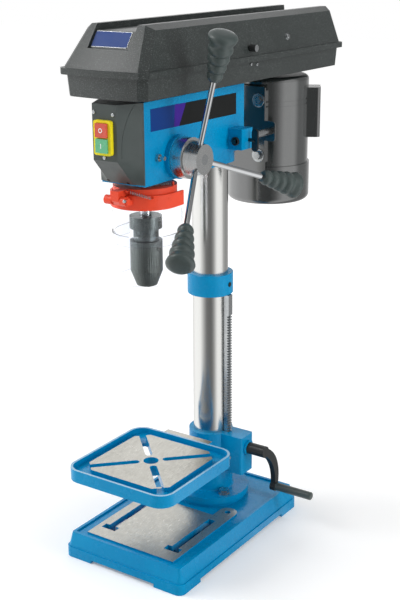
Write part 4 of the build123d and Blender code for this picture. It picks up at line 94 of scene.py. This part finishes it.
# Materials
class Material:
    """A Principled material with a small set of procedural layers."""

    def __init__(self, name, colour, rough=0.5, metal=0.0, coat=0.0, coat_rough=0.1, specular=0.5, ior=1.5):
        self.material = bpy.data.materials.new(name)
        self.material.use_nodes = True
        self.tree = self.material.node_tree
        self.tree.nodes.clear()
        self.out = self.node("ShaderNodeOutputMaterial")
        self.shader = self.node("ShaderNodeBsdfPrincipled")
        self.link(self.shader.outputs[0], self.out.inputs[0])
        self.shader.inputs["Base Color"].default_value = (*colour, 1)
        self.shader.inputs["Roughness"].default_value = rough
        self.shader.inputs["Metallic"].default_value = metal
        self.shader.inputs["Coat Weight"].default_value = coat
        self.shader.inputs["Coat Roughness"].default_value = coat_rough
        self.shader.inputs["Specular IOR Level"].default_value = specular
        self.shader.inputs["IOR"].default_value = ior
        self.coord = self.node("ShaderNodeTexCoord").outputs["Object"]
        self.material.diffuse_color = (*colour, 1)

    def node(self, kind, **values):
        made = self.tree.nodes.new(kind)
        for key, value in values.items():
            setattr(made, key, value)
        return made

    def link(self, a, b):
        self.tree.links.new(a, b)

    def stretched(self, scale):
        """Object coordinates scaled by axis."""
        mapping = self.node("ShaderNodeMapping")
        mapping.inputs["Scale"].default_value = scale
        self.link(self.coord, mapping.inputs[0])
        return mapping.outputs[0]

    def noise(self, scale, detail=3.0, rough=0.55, stretch=(1, 1, 1)):
        made = self.node("ShaderNodeTexNoise")
        made.inputs["Scale"].default_value = scale
        made.inputs["Detail"].default_value = detail
        made.inputs["Roughness"].default_value = rough
        self.link(self.stretched(stretch), made.inputs["Vector"])
        return made.outputs["Fac"]

    def cells(self, scale, stretch=(1, 1, 1)):
        made = self.node("ShaderNodeTexVoronoi")
        made.inputs["Scale"].default_value = scale
        self.link(self.stretched(stretch), made.inputs["Vector"])
        return made.outputs["Distance"]

    def math(self, operation, a, b=None, c=None, clamp=False):
        made = self.node("ShaderNodeMath", operation=operation, use_clamp=clamp)
        for i, value in enumerate((a, b, c)):
            if value is None:
                continue
            if hasattr(value, "node"):
                self.link(value, made.inputs[i])
            else:
                made.inputs[i].default_value = value
        return made.outputs[0]

    def ranged(self, value, low, high, to_low, to_high):
        made = self.node("ShaderNodeMapRange")
        self.link(value, made.inputs["Value"])
        for key, number in zip(("From Min", "From Max", "To Min", "To Max"), (low, high, to_low, to_high)):
            made.inputs[key].default_value = number
        return made.outputs["Result"]

    def tint(self, factor, other, low=0.35, high=0.65, amount=1.0):
        """Mixes the colour towards another one where the factor is high."""
        mix = self.node("ShaderNodeMix", data_type="RGBA")
        self.link(self.ranged(factor, low, high, 0, amount), mix.inputs["Factor"])
        source = self.shader.inputs["Base Color"]
        if source.is_linked:
            self.link(source.links[0].from_socket, mix.inputs["A"])
        else:
            mix.inputs["A"].default_value = source.default_value
        mix.inputs["B"].default_value = (*other, 1)
        self.link(mix.outputs["Result"], source)
        return self

    def roughen(self, factor, low, high, from_low=0.3, from_high=0.7):
        self.link(self.ranged(factor, from_low, from_high, low, high), self.shader.inputs["Roughness"])
        return self

    def bump(self, height, distance, strength=1.0):
        """Adds a bump layer; distance is its height in metres."""
        made = self.node("ShaderNodeBump")
        made.inputs["Distance"].default_value = distance
        made.inputs["Strength"].default_value = strength
        self.link(height, made.inputs["Height"])
        source = self.shader.inputs["Normal"]
        if source.is_linked:
            self.link(source.links[0].from_socket, made.inputs["Normal"])
        self.link(made.outputs[0], source)
        coat = self.shader.inputs["Coat Normal"]
        self.link(made.outputs[0], coat)
        return self

    def angle_about(self, x, y):
        """Angle about an upright axis at x, y, and the height."""
        apart = self.node("ShaderNodeSeparateXYZ")
        self.link(self.coord, apart.inputs[0])
        dx = self.math("SUBTRACT", apart.outputs[0], x)
        dy = self.math("SUBTRACT", apart.outputs[1], y)
        return self.math("ARCTAN2", dy, dx), apart.outputs[2]


def painted(name, colour, dark, rough=(0.24, 0.38), coat=0.12, peel=0.00010, cast=0.0, specular=0.3):
    """Gloss enamel with slight orange peel, and the skin of the casting under it."""
    m = Material(name, colour, rough[0], coat=coat, coat_rough=0.14, specular=specular)
    m.tint(m.noise(14, 3), dark, 0.38, 0.72, 0.55)
    m.roughen(m.noise(60, 4), *rough)
    m.bump(m.noise(260, 2), peel)
    if cast:
        m.bump(m.noise(130, 5, 0.6), cast)
    return m


def metal(name, colour, rough=(0.18, 0.3), stretch=(1, 1, 1), scale=200, lines=0.00002, mottle=None):
    m = Material(name, colour, rough[0], metal=1.0)
    m.roughen(m.noise(scale, 4, 0.6, stretch), *rough)
    m.tint(m.noise(22, 4, 0.55, stretch), mottle or tuple(c * 0.9 for c in colour), 0.4, 0.75, 0.5)
    m.bump(m.noise(scale * 2, 3, 0.6, stretch), lines)
    return m


def plastic(name, colour, rough=(0.35, 0.5), grain=0.00004, specular=0.35, lighter=1.35):
    m = Material(name, colour, rough[0], specular=specular)
    m.tint(m.noise(30, 3), tuple(min(1, c * lighter) for c in colour), 0.35, 0.75, 0.6)
    m.roughen(m.noise(120, 4), *rough)
    m.bump(m.noise(1400, 2), grain)
    return m


blue = painted("blue_enamel", (0.0, 0.270, 0.54), (0.0, 0.205, 0.45), (0.20, 0.32), 0.06, 0.00007, 0.00006, 0.18)
# Pale blue for the table rim's top faces: partly real wear, partly a painted highlight along the rim
worn_and_highlit_blue = painted("worn_edge", (0.30, 0.50, 0.66), (0.10, 0.34, 0.60), (0.24, 0.36), 0.05, 0.00006, specular=0.3)
machined = Material("machined_iron", (0.47, 0.46, 0.42), 0.3, metal=0.85)
machined.tint(machined.noise(7, 4), (0.34, 0.335, 0.30), 0.35, 0.72, 0.6)
machined.tint(machined.noise(150, 3, 0.6, (9, 0.6, 1)), (0.72, 0.71, 0.67), 0.45, 0.75, 0.5)
machined.roughen(machined.noise(120, 4, 0.6, (8, 0.7, 1)), 0.24, 0.42)
machined.bump(machined.noise(300, 2, 0.6, (8, 0.7, 1)), 0.000012)
steel = metal("ground_steel", (0.74, 0.74, 0.72), (0.20, 0.25), (1, 1, 0.06), 60, 0.0000015, (0.67, 0.67, 0.65))
zinc = metal("zinc_plate", (0.56, 0.58, 0.59), (0.2, 0.34), scale=160, mottle=(0.42, 0.44, 0.46))
dark_steel = metal("black_oxide", (0.07, 0.075, 0.075), (0.28, 0.42), scale=180)
chuck_steel = metal("chuck_steel", (0.115, 0.13, 0.125), (0.24, 0.38), (1, 1, 6), 120)
chrome = metal("chrome", (0.60, 0.61, 0.62), (0.07, 0.12), scale=60, lines=0.000002, mottle=(0.56, 0.57, 0.58))
alloy = metal("turned_alloy", (0.66, 0.67, 0.67), (0.22, 0.34), (6, 1, 1), 120, 0.00002)
cast_alloy = metal("cast_alloy", (0.62, 0.63, 0.64), (0.32, 0.46), scale=140)

cover = Material("textured_cover", (0.024, 0.030, 0.029), 0.42, specular=0.7)
fine = cover.noise(620, 3, 0.7)
# Lighter speckles: partly the cover's textured flecks, partly a painted sheen that lifts the black
cover.tint(fine, (0.16, 0.18, 0.175), 0.54, 0.66, 0.8)
cover.tint(cover.noise(7, 3), (0.016, 0.021, 0.020), 0.4, 0.7, 0.5)
cover.roughen(fine, 0.32, 0.5)
cover.bump(cover.cells(560), 0.00016, 0.6)
cover.bump(cover.noise(1500, 3), 0.00006)

motor_black = painted(
    "motor_black", (0.007, 0.011, 0.011), (0.005, 0.008, 0.008), (0.16, 0.22), 1.0, 0.00001, specular=1.0
)
motor_black.shader.inputs["Coat IOR"].default_value = 2.0
satin_black = painted("satin_black", (0.020, 0.022, 0.022), (0.034, 0.037, 0.036), (0.34, 0.46), 0.06, 0.00008)
grip = plastic("grip_plastic", (0.046, 0.062, 0.060), (0.30, 0.42), 0.00002, 0.6)
switch_grey = plastic("switch_grey", (0.055, 0.067, 0.065), (0.30, 0.44), 0.00003)
yellow = plastic("frame_yellow", (0.86, 0.72, 0.015), (0.28, 0.4), 0.00002, lighter=1.05)
red_button = plastic("button_red", (0.62, 0.10, 0.07), (0.2, 0.32), 0.00001, lighter=1.2)
green_button = plastic("button_green", (0.13, 0.44, 0.24), (0.2, 0.32), 0.00001, lighter=1.2)
guard_red = plastic("guard_red", (0.80, 0.070, 0.028), (0.26, 0.4), 0.00002, lighter=1.12)
rubber = plastic("belt_rubber", (0.022, 0.022, 0.023), (0.6, 0.75), 0.00006)
white_ink = plastic("white_ink", (0.86, 0.86, 0.86), (0.4, 0.5), 0.00001, lighter=1.05)
label_blue = plastic("label_blue", (0.003, 0.038, 0.20), (0.3, 0.4), 0.000005, 0.2, 1.15)
label_violet = plastic("label_violet", (0.045, 0.012, 0.24), (0.3, 0.4), 0.000005, 0.2, 1.15)
label_black = plastic("label_black", (0.008, 0.009, 0.009), (0.3, 0.4), 0.000005, 0.2)
# Near-black that paints the shade inside holes and recesses
hole_black = plastic("hole_black", (0.006, 0.006, 0.006), (0.6, 0.7), 0.00001)

clear = Material("clear_shield", (0.945, 0.958, 0.985), 0.02, specular=0.6, ior=1.3)
clear.shader.inputs["Transmission Weight"].default_value = 1.0
clear.tint(clear.noise(8, 2), (0.925, 0.943, 0.98), 0.4, 0.7, 0.7)
clear.roughen(clear.noise(40, 3), 0.01, 0.06)

knurl = metal("knurled_steel", (0.12, 0.135, 0.125), (0.26, 0.4), scale=140)
around, height = knurl.angle_about(0, -THROAT * MM)
turns = knurl.math("MULTIPLY", around, 24)
rise = knurl.math("MULTIPLY", height, 2400)
left = knurl.math("SINE", knurl.math("ADD", turns, rise))
right = knurl.math("SINE", knurl.math("SUBTRACT", turns, rise))
knurl.bump(knurl.math("MULTIPLY", left, right), 0.00025)

PAINT = {
    "casting_blue": blue, "machined_iron": machined, "column_steel": steel, "zinc_steel": zinc,
    "dark_steel": dark_steel, "chuck_steel": chuck_steel, "spoke_chrome": chrome, "cover_black": cover,
    "motor_black": motor_black, "crank_black": satin_black, "grip_dark": grip, "switch_grey": switch_grey,
    "frame_yellow": yellow, "button_red": red_button, "button_green": green_button,
    "guard_red": guard_red, "shield_clear": clear, "belt_rubber": rubber, "pulley_alloy": cast_alloy,
    "hub_alloy": alloy,
}


def set_materials(obj, first, *others):
    obj.data.materials.clear()
    for m in (first, *others):
        obj.data.materials.append(m.material)
    for polygon in obj.data.polygons:
        polygon.material_index = 0


def repaint(obj, slot, test):
    for polygon in obj.data.polygons:
        if test(polygon.center, polygon.normal):
            polygon.material_index = slot


slots = {part["node"]: part["material_slot"] for part in frame["record"]["subparts"]}
for name, obj in nodes.items():
    set_materials(obj, PAINT[slots[name]])
    obj.data.shade_smooth()

# Machined faces on the painted castings, and pale blue on the table rim's top faces for wear and a painted highlight
table = nodes["table"]
set_materials(table, blue, machined, worn_and_highlit_blue)
repaint(table, 1, lambda c, n: n.z > LEVEL and LAND_LOW * MM < c.z < LAND_HIGH * MM)
# The rim's top faces turn pale blue: part wear, part painted highlight
repaint(table, 2, lambda c, n: n.z > LEVEL and c.z > RIM_LOW * MM)
repaint(table, 1, lambda c, n: n.z > LEVEL and c.z > RIM_LOW * MM and c.y > LUG_FRONT * MM)
base = nodes["base"]
set_materials(base, blue, machined)


def on_pad(c, n):
    """The machined pad, and not the rim at the same height."""
    level = n.z > LEVEL and abs(c.z - PAD_Z * MM) < 0.4 * MM
    return level and abs(c.x) < PAD_SIDE * MM and PAD_FRONT * MM < c.y < PAD_BACK * MM


repaint(base, 1, on_pad)

# Finishes that differ from the slot's own
set_materials(nodes["rack"], zinc)
set_materials(nodes["wing_screw"], dark_steel)
set_materials(nodes["chuck_sleeve"], knurl)
knob = nodes["lid_knob"]
set_materials(knob, satin_black, zinc)
repaint(knob, 1, lambda c, n: n.x > 0.8 and c.x > 80 * MM)
screws = nodes["set_screws"]
set_materials(screws, dark_steel, zinc)
repaint(screws, 1, lambda c, n: c.y < -180 * MM)


# Mesh helpers
def finish_mesh(name, bm, material, body, smooth=True, bevel=0.0, angle=35):
    mesh = bpy.data.meshes.new(name)
    bmesh.ops.recalc_face_normals(bm, faces=bm.faces)
    bm.to_mesh(mesh)
    bm.free()
    obj = bpy.data.objects.new(name, mesh)
    scene.collection.objects.link(obj)
    mesh.materials.append(material.material)
    if bevel:
        made = obj.modifiers.new("bevel", "BEVEL")
        made.width = bevel
        made.segments = 2
        made.limit_method = "ANGLE"
        made.angle_limit = math.radians(angle)
    if smooth:
        mesh.shade_smooth()
        mesh.set_sharp_from_angle(angle=math.radians(angle))
    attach(obj, body)
    return obj


def placed(at, normal, roll=None):
    """A matrix whose Z runs along the normal, at a point in millimetres."""
    z = Vector(normal).normalized()
    x = Vector(roll) if roll else (Vector((0, 0, 1)) if abs(z.z) < 0.9 else Vector((1, 0, 0)))
    x = (x - z * x.dot(z)).normalized()
    y = z.cross(x)
    m = Matrix((x, y, z)).transposed().to_4x4()
    m.translation = Vector(at) * MM
    return m


def ring(bm, radius, z, count=SIDES, matrix=Matrix.Identity(4)):
    turns = [2 * math.pi * i / count for i in range(count)]
    return [bm.verts.new(matrix @ (Vector((radius * math.cos(a), radius * math.sin(a), z)) * MM)) for a in turns]


def add_lathe(bm, profile, matrix, count=SIDES):
    """Turns (radius, height) pairs about the matrix's Z, closed where a radius is zero."""
    last = None
    for radius, z in profile:
        if radius <= 0:
            now = [bm.verts.new(matrix @ (Vector((0, 0, z)) * MM))]
        else:
            now = ring(bm, radius, z, count, matrix)
        if last is not None:
            for i in range(count):
                j = (i + 1) % count
                corners = []
                for loop, k in ((last, i), (last, j), (now, j), (now, i)):
                    vert = loop[k if len(loop) > 1 else 0]
                    if vert not in corners:
                        corners.append(vert)
                if len(corners) > 2:
                    bm.faces.new(corners)
        last = now


def add_prism(bm, outline, low, high, matrix):
    """Extrudes an outline of points in the matrix's plane from low to high."""
    bottom = [bm.verts.new(matrix @ (Vector((x, y, low)) * MM)) for x, y in outline]
    top = [bm.verts.new(matrix @ (Vector((x, y, high)) * MM)) for x, y in outline]
    bm.faces.new(bottom[::-1])
    bm.faces.new(top)
    for i in range(len(outline)):
        j = (i + 1) % len(outline)
        bm.faces.new((bottom[i], bottom[j], top[j], top[i]))


def rounded(width, height, radius, steps=5):
    points = []
    for cx, cy, start in ((1, 1, 0), (-1, 1, 90), (-1, -1, 180), (1, -1, 270)):
        for i in range(steps + 1):
            a = math.radians(start + 90 * i / steps)
            x = cx * (width / 2 - radius) + radius * math.cos(a)
            points.append((x, cy * (height / 2 - radius) + radius * math.sin(a)))
    return points


def cross(arm, width):
    a, w = arm, width / 2
    right_half = [(a, -w), (a, w), (w, w), (w, a), (-w, a), (-w, w)]
    return right_half + [(-x, -y) for x, y in right_half]


def add_recess_top(bm, outline, radius, z, depth, matrix, count=SIDES):
    """A round face at z with a recess of that outline sunk into it."""
    outer = ring(bm, radius, z, count, matrix)
    inner = [bm.verts.new(matrix @ (Vector((x, y, z)) * MM)) for x, y in outline]
    sunk = [bm.verts.new(matrix @ (Vector((x * 0.85, y * 0.85, z - depth)) * MM)) for x, y in outline]
    edges = [bm.edges.new((outer[i], outer[(i + 1) % count])) for i in range(count)]
    edges += [bm.edges.new((inner[i], inner[(i + 1) % len(inner)])) for i in range(len(inner))]
    bmesh.ops.triangle_fill(bm, edges=edges, use_beauty=True)
    for i in range(len(inner)):
        j = (i + 1) % len(inner)
        bm.faces.new((inner[i], inner[j], sunk[j], sunk[i]))
    bm.faces.new(sunk)
    return outer


def screw(name, at, normal, radius, body, material, height=None, recess="cross", washer=0.0, roll=None):
    """A domed screw head with a driving recess, on an optional washer."""
    height = height or radius * 0.62
    bm = bmesh.new()
    matrix = placed(at, normal, roll)
    base_z = 0.0
    if washer:
        inner = radius * 0.4
        add_lathe(bm, [(inner, -0.3), (washer, -0.3), (washer, 0.75), (washer - 0.25, 1.0), (inner, 1.0)], matrix, 40)
        base_z = 1.0
    flat = radius * 0.66
    profile = [(0, base_z - 0.3), (radius, base_z - 0.3), (radius, base_z + height * 0.35)]
    for i in range(1, 5):
        a = math.radians(90 * i / 5)
        profile.append((flat + (radius - flat) * math.cos(a), base_z + height * (0.35 + 0.65 * math.sin(a))))
    add_lathe(bm, profile, matrix)
    top = base_z + height
    outer = ring(bm, *profile[-1], SIDES, matrix)
    if recess == "cross":
        shape = cross(radius * 0.52, radius * 0.2)
    elif recess == "slot":
        long, short = radius * 0.6, radius * 0.1
        shape = [(long, -short), (long, short), (-long, short), (-long, -short)]
    else:
        corners = [math.radians(60 * i) for i in range(6)]
        shape = [(radius * 0.42 * math.cos(a), radius * 0.42 * math.sin(a)) for a in corners]
    lid = add_recess_top(bm, shape, flat, top, height * 0.55, matrix)
    for i in range(SIDES):
        j = (i + 1) % SIDES
        bm.faces.new((outer[i], outer[j], lid[j], lid[i]))
    bmesh.ops.remove_doubles(bm, verts=bm.verts, dist=0.000002)
    return finish_mesh(name, bm, material, body)


# Fastenings that the photograph shows
for name, at, normal, radius, kind, washer, body in (
    ("lid_screw", (69.7, 123.9, 825.2), (0.96, 0, 0.27), 4.2, "cross", 5.4, "lid"),
    ("pan_screw_front", (72.4, 8.4, 791.5), (1, 0, -0.06), 3.0, "cross", 0, "frame"),
    ("pan_screw_rear", (72.3, 25.9, 789.9), (1, 0, -0.06), 3.0, "cross", 0, "frame"),
    ("band_screw_upper", (15.5, -246.9, 615.3), (0, -1, 0), 2.7, "slot", 0, "guard"),
):
    screw(name, at, normal, radius, body, zinc, recess=kind, washer=washer)

for name, at in (
    ("panel_screw_left", (-18.6, -268, 744.8)),
    ("panel_screw_right", (15.8, -268, 743.0)),
    ("panel_screw_low", (-1.6, -268, 680.8)),
):
    screw(name, at, (0, -1, 0), 2.9, "frame", zinc, height=1.4)


# Plates and marks
def plate(name, outline, at, normal, roll, thickness, material, body, slot, bevel=0.15):
    bm = bmesh.new()
    add_prism(bm, outline, -0.3, thickness, placed(at, normal, roll))
    return finish_mesh(name, bm, material, body, smooth=True, bevel=bevel * MM)


def tube(name, points, radius, normal, material, body, sides=8):
    """A thin round bead along a line of points in millimetres."""
    bm = bmesh.new()
    rings = []
    for i, at in enumerate(points):
        along = Vector(points[min(i + 1, len(points) - 1)]) - Vector(points[max(i - 1, 0)])
        rings.append(ring(bm, radius, 0, sides, placed(at, along, normal)))
    for a, b in zip(rings, rings[1:]):
        for i in range(sides):
            j = (i + 1) % sides
            bm.faces.new((a[i], a[j], b[j], b[i]))
    bm.faces.new(rings[0][::-1])
    bm.faces.new(rings[-1])
    return finish_mesh(name, bm, material, body)


def smooth_line(points, steps=6):
    """More points along a smooth curve through these."""
    made = []
    spots = [Vector(p) for p in points]
    for i in range(len(spots) - 1):
        before, a, b, after = spots[max(i - 1, 0)], spots[i], spots[i + 1], spots[min(i + 2, len(spots) - 1)]
        for k in range(steps):
            t = k / steps
            square, cube = 2 * before - 5 * a + 4 * b - after, 3 * a - before - 3 * b + after
            made.append(0.5 * (2 * a + (b - before) * t + square * t * t + cube * t ** 3))
    made.append(spots[-1])
    return [tuple(v) for v in made]


# Feed grips at the photograph's full thickness: four swelling beads and a mushroom cap
def feed_grips():
    bm = bmesh.new()
    foot, reach, bead, root, growth, swell = 129, 195, 13.5, 8.2, 2.1, 2.6
    profile = [(0, foot), (root, foot)]
    for i in range(4):
        for k in range(1, 9):
            low = root + growth * i
            profile.append((low + growth * k / 8 + swell * math.sin(math.pi * k / 8), foot + bead * (i + k / 8)))
    profile += [(17.4, reach - 9), (19.9, reach - 4.5), (21.3, reach), (20.6, reach + 2.6)]
    profile += [(18.0, reach + 5.0), (13.5, reach + 6.6), (7, reach + 7.2), (0, reach + 7.2)]
    for i in range(SPOKE_COUNT):
        turn, lean = math.radians(SPOKE_START + 360 / SPOKE_COUNT * i), math.radians(SPOKE_LEAN)
        out = (math.sin(lean), math.cos(lean) * math.sin(turn), math.cos(lean) * math.cos(turn))
        add_lathe(bm, profile, placed(FEED_HUB, out, (0, math.cos(turn), -math.sin(turn))), 40)
    obj = finish_mesh("full_grips", bm, grip, "feed", angle=50)
    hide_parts("feed_grips")


feed_grips()

# Plain badge plate with a bright rim in the recess of the lid's front
badge_at, badge_normal = (-3.0, -241.9, 843.8), (0, -0.81, 0.58)
badge = dict(at=badge_at, normal=badge_normal, roll=(0, 0, 1), body="lid")
plate("badge_rim", rounded(25.4, 64, 1.5), thickness=0.7, material=zinc, slot="zinc_steel", **badge)
plate("badge_plate", rounded(24.3, 62.9, 1.0), thickness=0.95, material=label_blue, slot="casting_blue", **badge)

# Moulded seam on the switch box's right-hand facet, and near-black discs of painted shade in the two sockets under its
# chin
seam = [
    (34.9, -242.3, 755.2), (30.7, -250.7, 741.1), (27.8, -256.4, 725.4),
    (25.8, -260.4, 709.6), (25.1, -261.7, 695.2), (25.2, -261.6, 680.6),
]
tube("switch_seam", smooth_line(seam), 0.45, (0.89, -0.45, 0), switch_grey, "frame")
# Flat near-black discs stand in for the shade inside the sockets
for name, at in (("chin_socket_left", (-21.2, -236.5, 640.8)), ("chin_socket_right", (14.6, -235.7, 639.9))):
    bm = bmesh.new()
    add_lathe(bm, [(0, -0.3), (2.6, -0.3), (2.6, 0.12), (0, 0.12)], placed(at, (0, -0.75, -0.67)), 28)
    finish_mesh(name, bm, hole_black, "frame")

# Black collar round the screw in the motor slide's block
bm = bmesh.new()
collar = [(5.1, -0.3), (6.8, -0.3), (6.8, 3.0), (6.0, 3.8), (5.1, 3.8), (5.1, -0.3)]
add_lathe(bm, collar, placed((55.0, -8.0, 672.0), (0, -1, 0)), 36)
finish_mesh("block_collar", bm, satin_black, "frame")

# Washers under the heads that hold the motor plate
for name, z in (("plate_washer_upper", 722.0), ("plate_washer_lower", 630.0)):
    bm = bmesh.new()
    profile = [(0, -0.3), (11.5, -0.3), (11.5, 0.9), (11.1, 1.3), (0, 1.3)]
    add_lathe(bm, profile, placed((PLATE_BOLT_X, PLATE_FACE_Y, z), (0, -1, 0)), 40)
    finish_mesh(name, bm, zinc, "motor")

# Side label in three colours; local x runs back along the head and local y runs up
LABEL = (
    ("label_left", [(-212.6, 713.5), (-155, 712.9), (-152, 745.9), (-212.6, 745.9)], 0.35, label_blue, "casting_blue"),
    (
        "label_stripe",
        [(-155, 712.9), (-141.8, 712.7), (-123.5, 745.4), (-149, 745.9), (-152, 745.9)],
        0.35, label_violet, "casting_blue",
    ),
    ("label_right", [(-141.8, 712.7), (16, 711.2), (16, 744.6), (-123.5, 745.4)], 0.4, label_black, "crank_black"),
)
for name, outline, thickness, material, slot in LABEL:
    plate(name, outline, (HEAD_SIDE, 0, 0), (1, 0, 0), (0, 1, 0), thickness, material, "frame", slot)


# Marks on the buttons: a ring to stop and a bar to start
def button_marks():
    lo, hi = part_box("stop_button")
    centre = ((lo.x + hi.x) / 2 / MM, lo.y / MM, (lo.z + hi.z) / 2 / MM)
    bm = bmesh.new()
    add_lathe(bm, [(2.2, -0.2), (3.4, -0.2), (3.4, 0.15), (2.2, 0.15), (2.2, -0.2)], placed(centre, (0, -1, 0)), 40)
    finish_mesh("stop_mark", bm, white_ink, "stop_button")
    lo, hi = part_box("start_button")
    centre = ((lo.x + hi.x) / 2 / MM, lo.y / MM, (lo.z + hi.z) / 2 / MM)
    bm = bmesh.new()
    add_prism(bm, rounded(7.0, 1.3, 0.3), -0.2, 0.15, placed(centre, (0, -1, 0), (0, 0, 1)))
    finish_mesh("start_mark", bm, white_ink, "start_button")


button_marks()


# Stage, lights, world
# The studio's grey level by direction about the machine, in degrees from its front
STUDIO = (
    (-180, 0.40), (-146, 0.50), (-112, 0.80), (-80, 1.0), (-34, 0.96), (-10, 0.45), (8, 0.17), (40, 0.12),
    (56, 0.30), (78, 0.92), (112, 0.88), (128, 0.34), (160, 0.26), (180, 0.40),
)
STUDIO_STRENGTH = 1.25
FLOOR_GLOW = {"From Min": 0.32, "From Max": 1.4, "To Min": 0.16, "To Max": 0.50}


def light_path(tree, *kinds):
    """1 where a ray is of one of these kinds."""
    path = tree.nodes.new("ShaderNodeLightPath")
    value = path.outputs[kinds[0]]
    for other in kinds[1:]:
        larger = tree.nodes.new("ShaderNodeMath")
        larger.operation = "MAXIMUM"
        tree.links.new(value, larger.inputs[0])
        tree.links.new(path.outputs[other], larger.inputs[1])
        value = larger.outputs[0]
    return value


def studio(tree, vector):
    """How bright the studio is in each direction about the machine, for its glossy surfaces."""
    apart = tree.nodes.new("ShaderNodeSeparateXYZ")
    tree.links.new(vector, apart.inputs[0])
    back = tree.nodes.new("ShaderNodeMath")
    back.operation = "MULTIPLY"
    back.inputs[1].default_value = -1
    tree.links.new(apart.outputs[1], back.inputs[0])
    turn = tree.nodes.new("ShaderNodeMath")
    turn.operation = "ARCTAN2"
    tree.links.new(apart.outputs[0], turn.inputs[0])
    tree.links.new(back.outputs[0], turn.inputs[1])
    share = tree.nodes.new("ShaderNodeMapRange")
    share.inputs["From Min"].default_value = -math.pi
    share.inputs["From Max"].default_value = math.pi
    tree.links.new(turn.outputs[0], share.inputs["Value"])
    ramp = tree.nodes.new("ShaderNodeValToRGB")
    points = ramp.color_ramp.elements
    while len(points) < len(STUDIO):
        points.new(0.5)
    for point, (degrees, value) in zip(points, STUDIO):
        point.position = (degrees + 180) / 360
        point.color = (value, value, value, 1)
    tree.links.new(share.outputs["Result"], ramp.inputs[0])
    strong = tree.nodes.new("ShaderNodeMath")
    strong.operation = "MULTIPLY"
    strong.inputs[1].default_value = STUDIO_STRENGTH
    tree.links.new(ramp.outputs[0], strong.inputs[0])
    return strong.outputs[0]


def make_floor():
    """A pale floor that keeps the shadow near the machine and turns white further out."""
    bm = bmesh.new()
    bmesh.ops.create_grid(bm, x_segments=2, y_segments=2, size=9)
    mesh = bpy.data.meshes.new("floor")
    bm.to_mesh(mesh)
    bm.free()
    floor = bpy.data.objects.new("floor", mesh)
    floor.location.z = -0.0004
    scene.collection.objects.link(floor)
    material = bpy.data.materials.new("floor")
    material.use_nodes = True
    tree = material.node_tree
    tree.nodes.clear()
    out = tree.nodes.new("ShaderNodeOutputMaterial")
    diffuse = tree.nodes.new("ShaderNodeBsdfDiffuse")
    diffuse.inputs[0].default_value = (0.93, 0.93, 0.935, 1)
    coord = tree.nodes.new("ShaderNodeTexCoord")
    far = tree.nodes.new("ShaderNodeVectorMath")
    far.operation = "LENGTH"
    tree.links.new(coord.outputs["Object"], far.inputs[0])
    spread = tree.nodes.new("ShaderNodeMapRange")
    tree.links.new(far.outputs["Value"], spread.inputs["Value"])
    for key, number in FLOOR_GLOW.items():
        spread.inputs[key].default_value = number
    strength = tree.nodes.new("ShaderNodeMath")
    strength.operation = "MULTIPLY"
    tree.links.new(light_path(tree, "Is Camera Ray", "Is Transmission Ray"), strength.inputs[0])
    tree.links.new(spread.outputs[0], strength.inputs[1])
    reflected = tree.nodes.new("ShaderNodeMath")
    reflected.operation = "MULTIPLY_ADD"
    tree.links.new(light_path(tree, "Is Glossy Ray"), reflected.inputs[0])
    tree.links.new(studio(tree, coord.outputs["Object"]), reflected.inputs[1])
    tree.links.new(strength.outputs[0], reflected.inputs[2])
    glow = tree.nodes.new("ShaderNodeEmission")
    tree.links.new(reflected.outputs[0], glow.inputs[1])
    unlit = tree.nodes.new("ShaderNodeMixShader")
    tree.links.new(light_path(tree, "Is Glossy Ray"), unlit.inputs[0])
    tree.links.new(diffuse.outputs[0], unlit.inputs[1])
    both = tree.nodes.new("ShaderNodeAddShader")
    tree.links.new(unlit.outputs[0], both.inputs[0])
    tree.links.new(glow.outputs[0], both.inputs[1])
    tree.links.new(both.outputs[0], out.inputs[0])
    mesh.materials.append(material)


def make_world(light_strength):
    """Even studio light, seen as white."""
    world = bpy.data.worlds.new("studio")
    scene.world = world
    world.use_nodes = True
    tree = world.node_tree
    tree.nodes.clear()
    out = tree.nodes.new("ShaderNodeOutputWorld")
    light = tree.nodes.new("ShaderNodeBackground")
    light.inputs[0].default_value = (1.0, 1.0, 0.99, 1)
    light.inputs[1].default_value = light_strength
    seen = tree.nodes.new("ShaderNodeBackground")
    seen.inputs[0].default_value = (1, 1, 1, 1)
    mix = tree.nodes.new("ShaderNodeMixShader")
    tree.links.new(light_path(tree, "Is Camera Ray", "Is Transmission Ray"), mix.inputs[0])
    tree.links.new(light.outputs[0], mix.inputs[1])
    tree.links.new(seen.outputs[0], mix.inputs[2])
    coord = tree.nodes.new("ShaderNodeTexCoord")
    gloss = tree.nodes.new("ShaderNodeBackground")
    tree.links.new(studio(tree, coord.outputs["Generated"]), gloss.inputs[1])
    last = tree.nodes.new("ShaderNodeMixShader")
    tree.links.new(light_path(tree, "Is Glossy Ray"), last.inputs[0])
    tree.links.new(mix.outputs[0], last.inputs[1])
    tree.links.new(gloss.outputs[0], last.inputs[2])
    tree.links.new(last.outputs[0], out.inputs[0])


def area(name, at, target, width, height, power, reflected=True):
    data = bpy.data.lights.new(name, "AREA")
    data.shape = "RECTANGLE"
    data.size, data.size_y = width, height
    data.energy = power
    light = bpy.data.objects.new(name, data)
    scene.collection.objects.link(light)
    light.location = at
    light.visible_camera = False
    light.visible_glossy = reflected
    light.rotation_mode = "QUATERNION"
    light.rotation_quaternion = (Vector(target) - Vector(at)).to_track_quat("-Z", "Y")


def around_machine(azimuth, distance, height):
    a = math.radians(azimuth)
    return Vector((math.sin(a) * distance, -math.cos(a) * distance, height))


make_floor()
make_world(0.55)
tower = (0, 0, 0.95)
area("key_light", around_machine(-62, 1.9, 1.2), tower, 0.8, 1.9, 24, False)
area("fill_light", around_machine(88, 1.7, 1.1), tower, 0.45, 1.9, 17, False)
area("top_light", around_machine(-45, 1.9, 2.45), (0, -0.1, 0.8), 0.9, 0.9, 14)
area("rear_light", around_machine(212, 2.5, 1.75), (0, 0, 0.86), 1.5, 0.9, 6)

scene.view_settings.view_transform = "Standard"
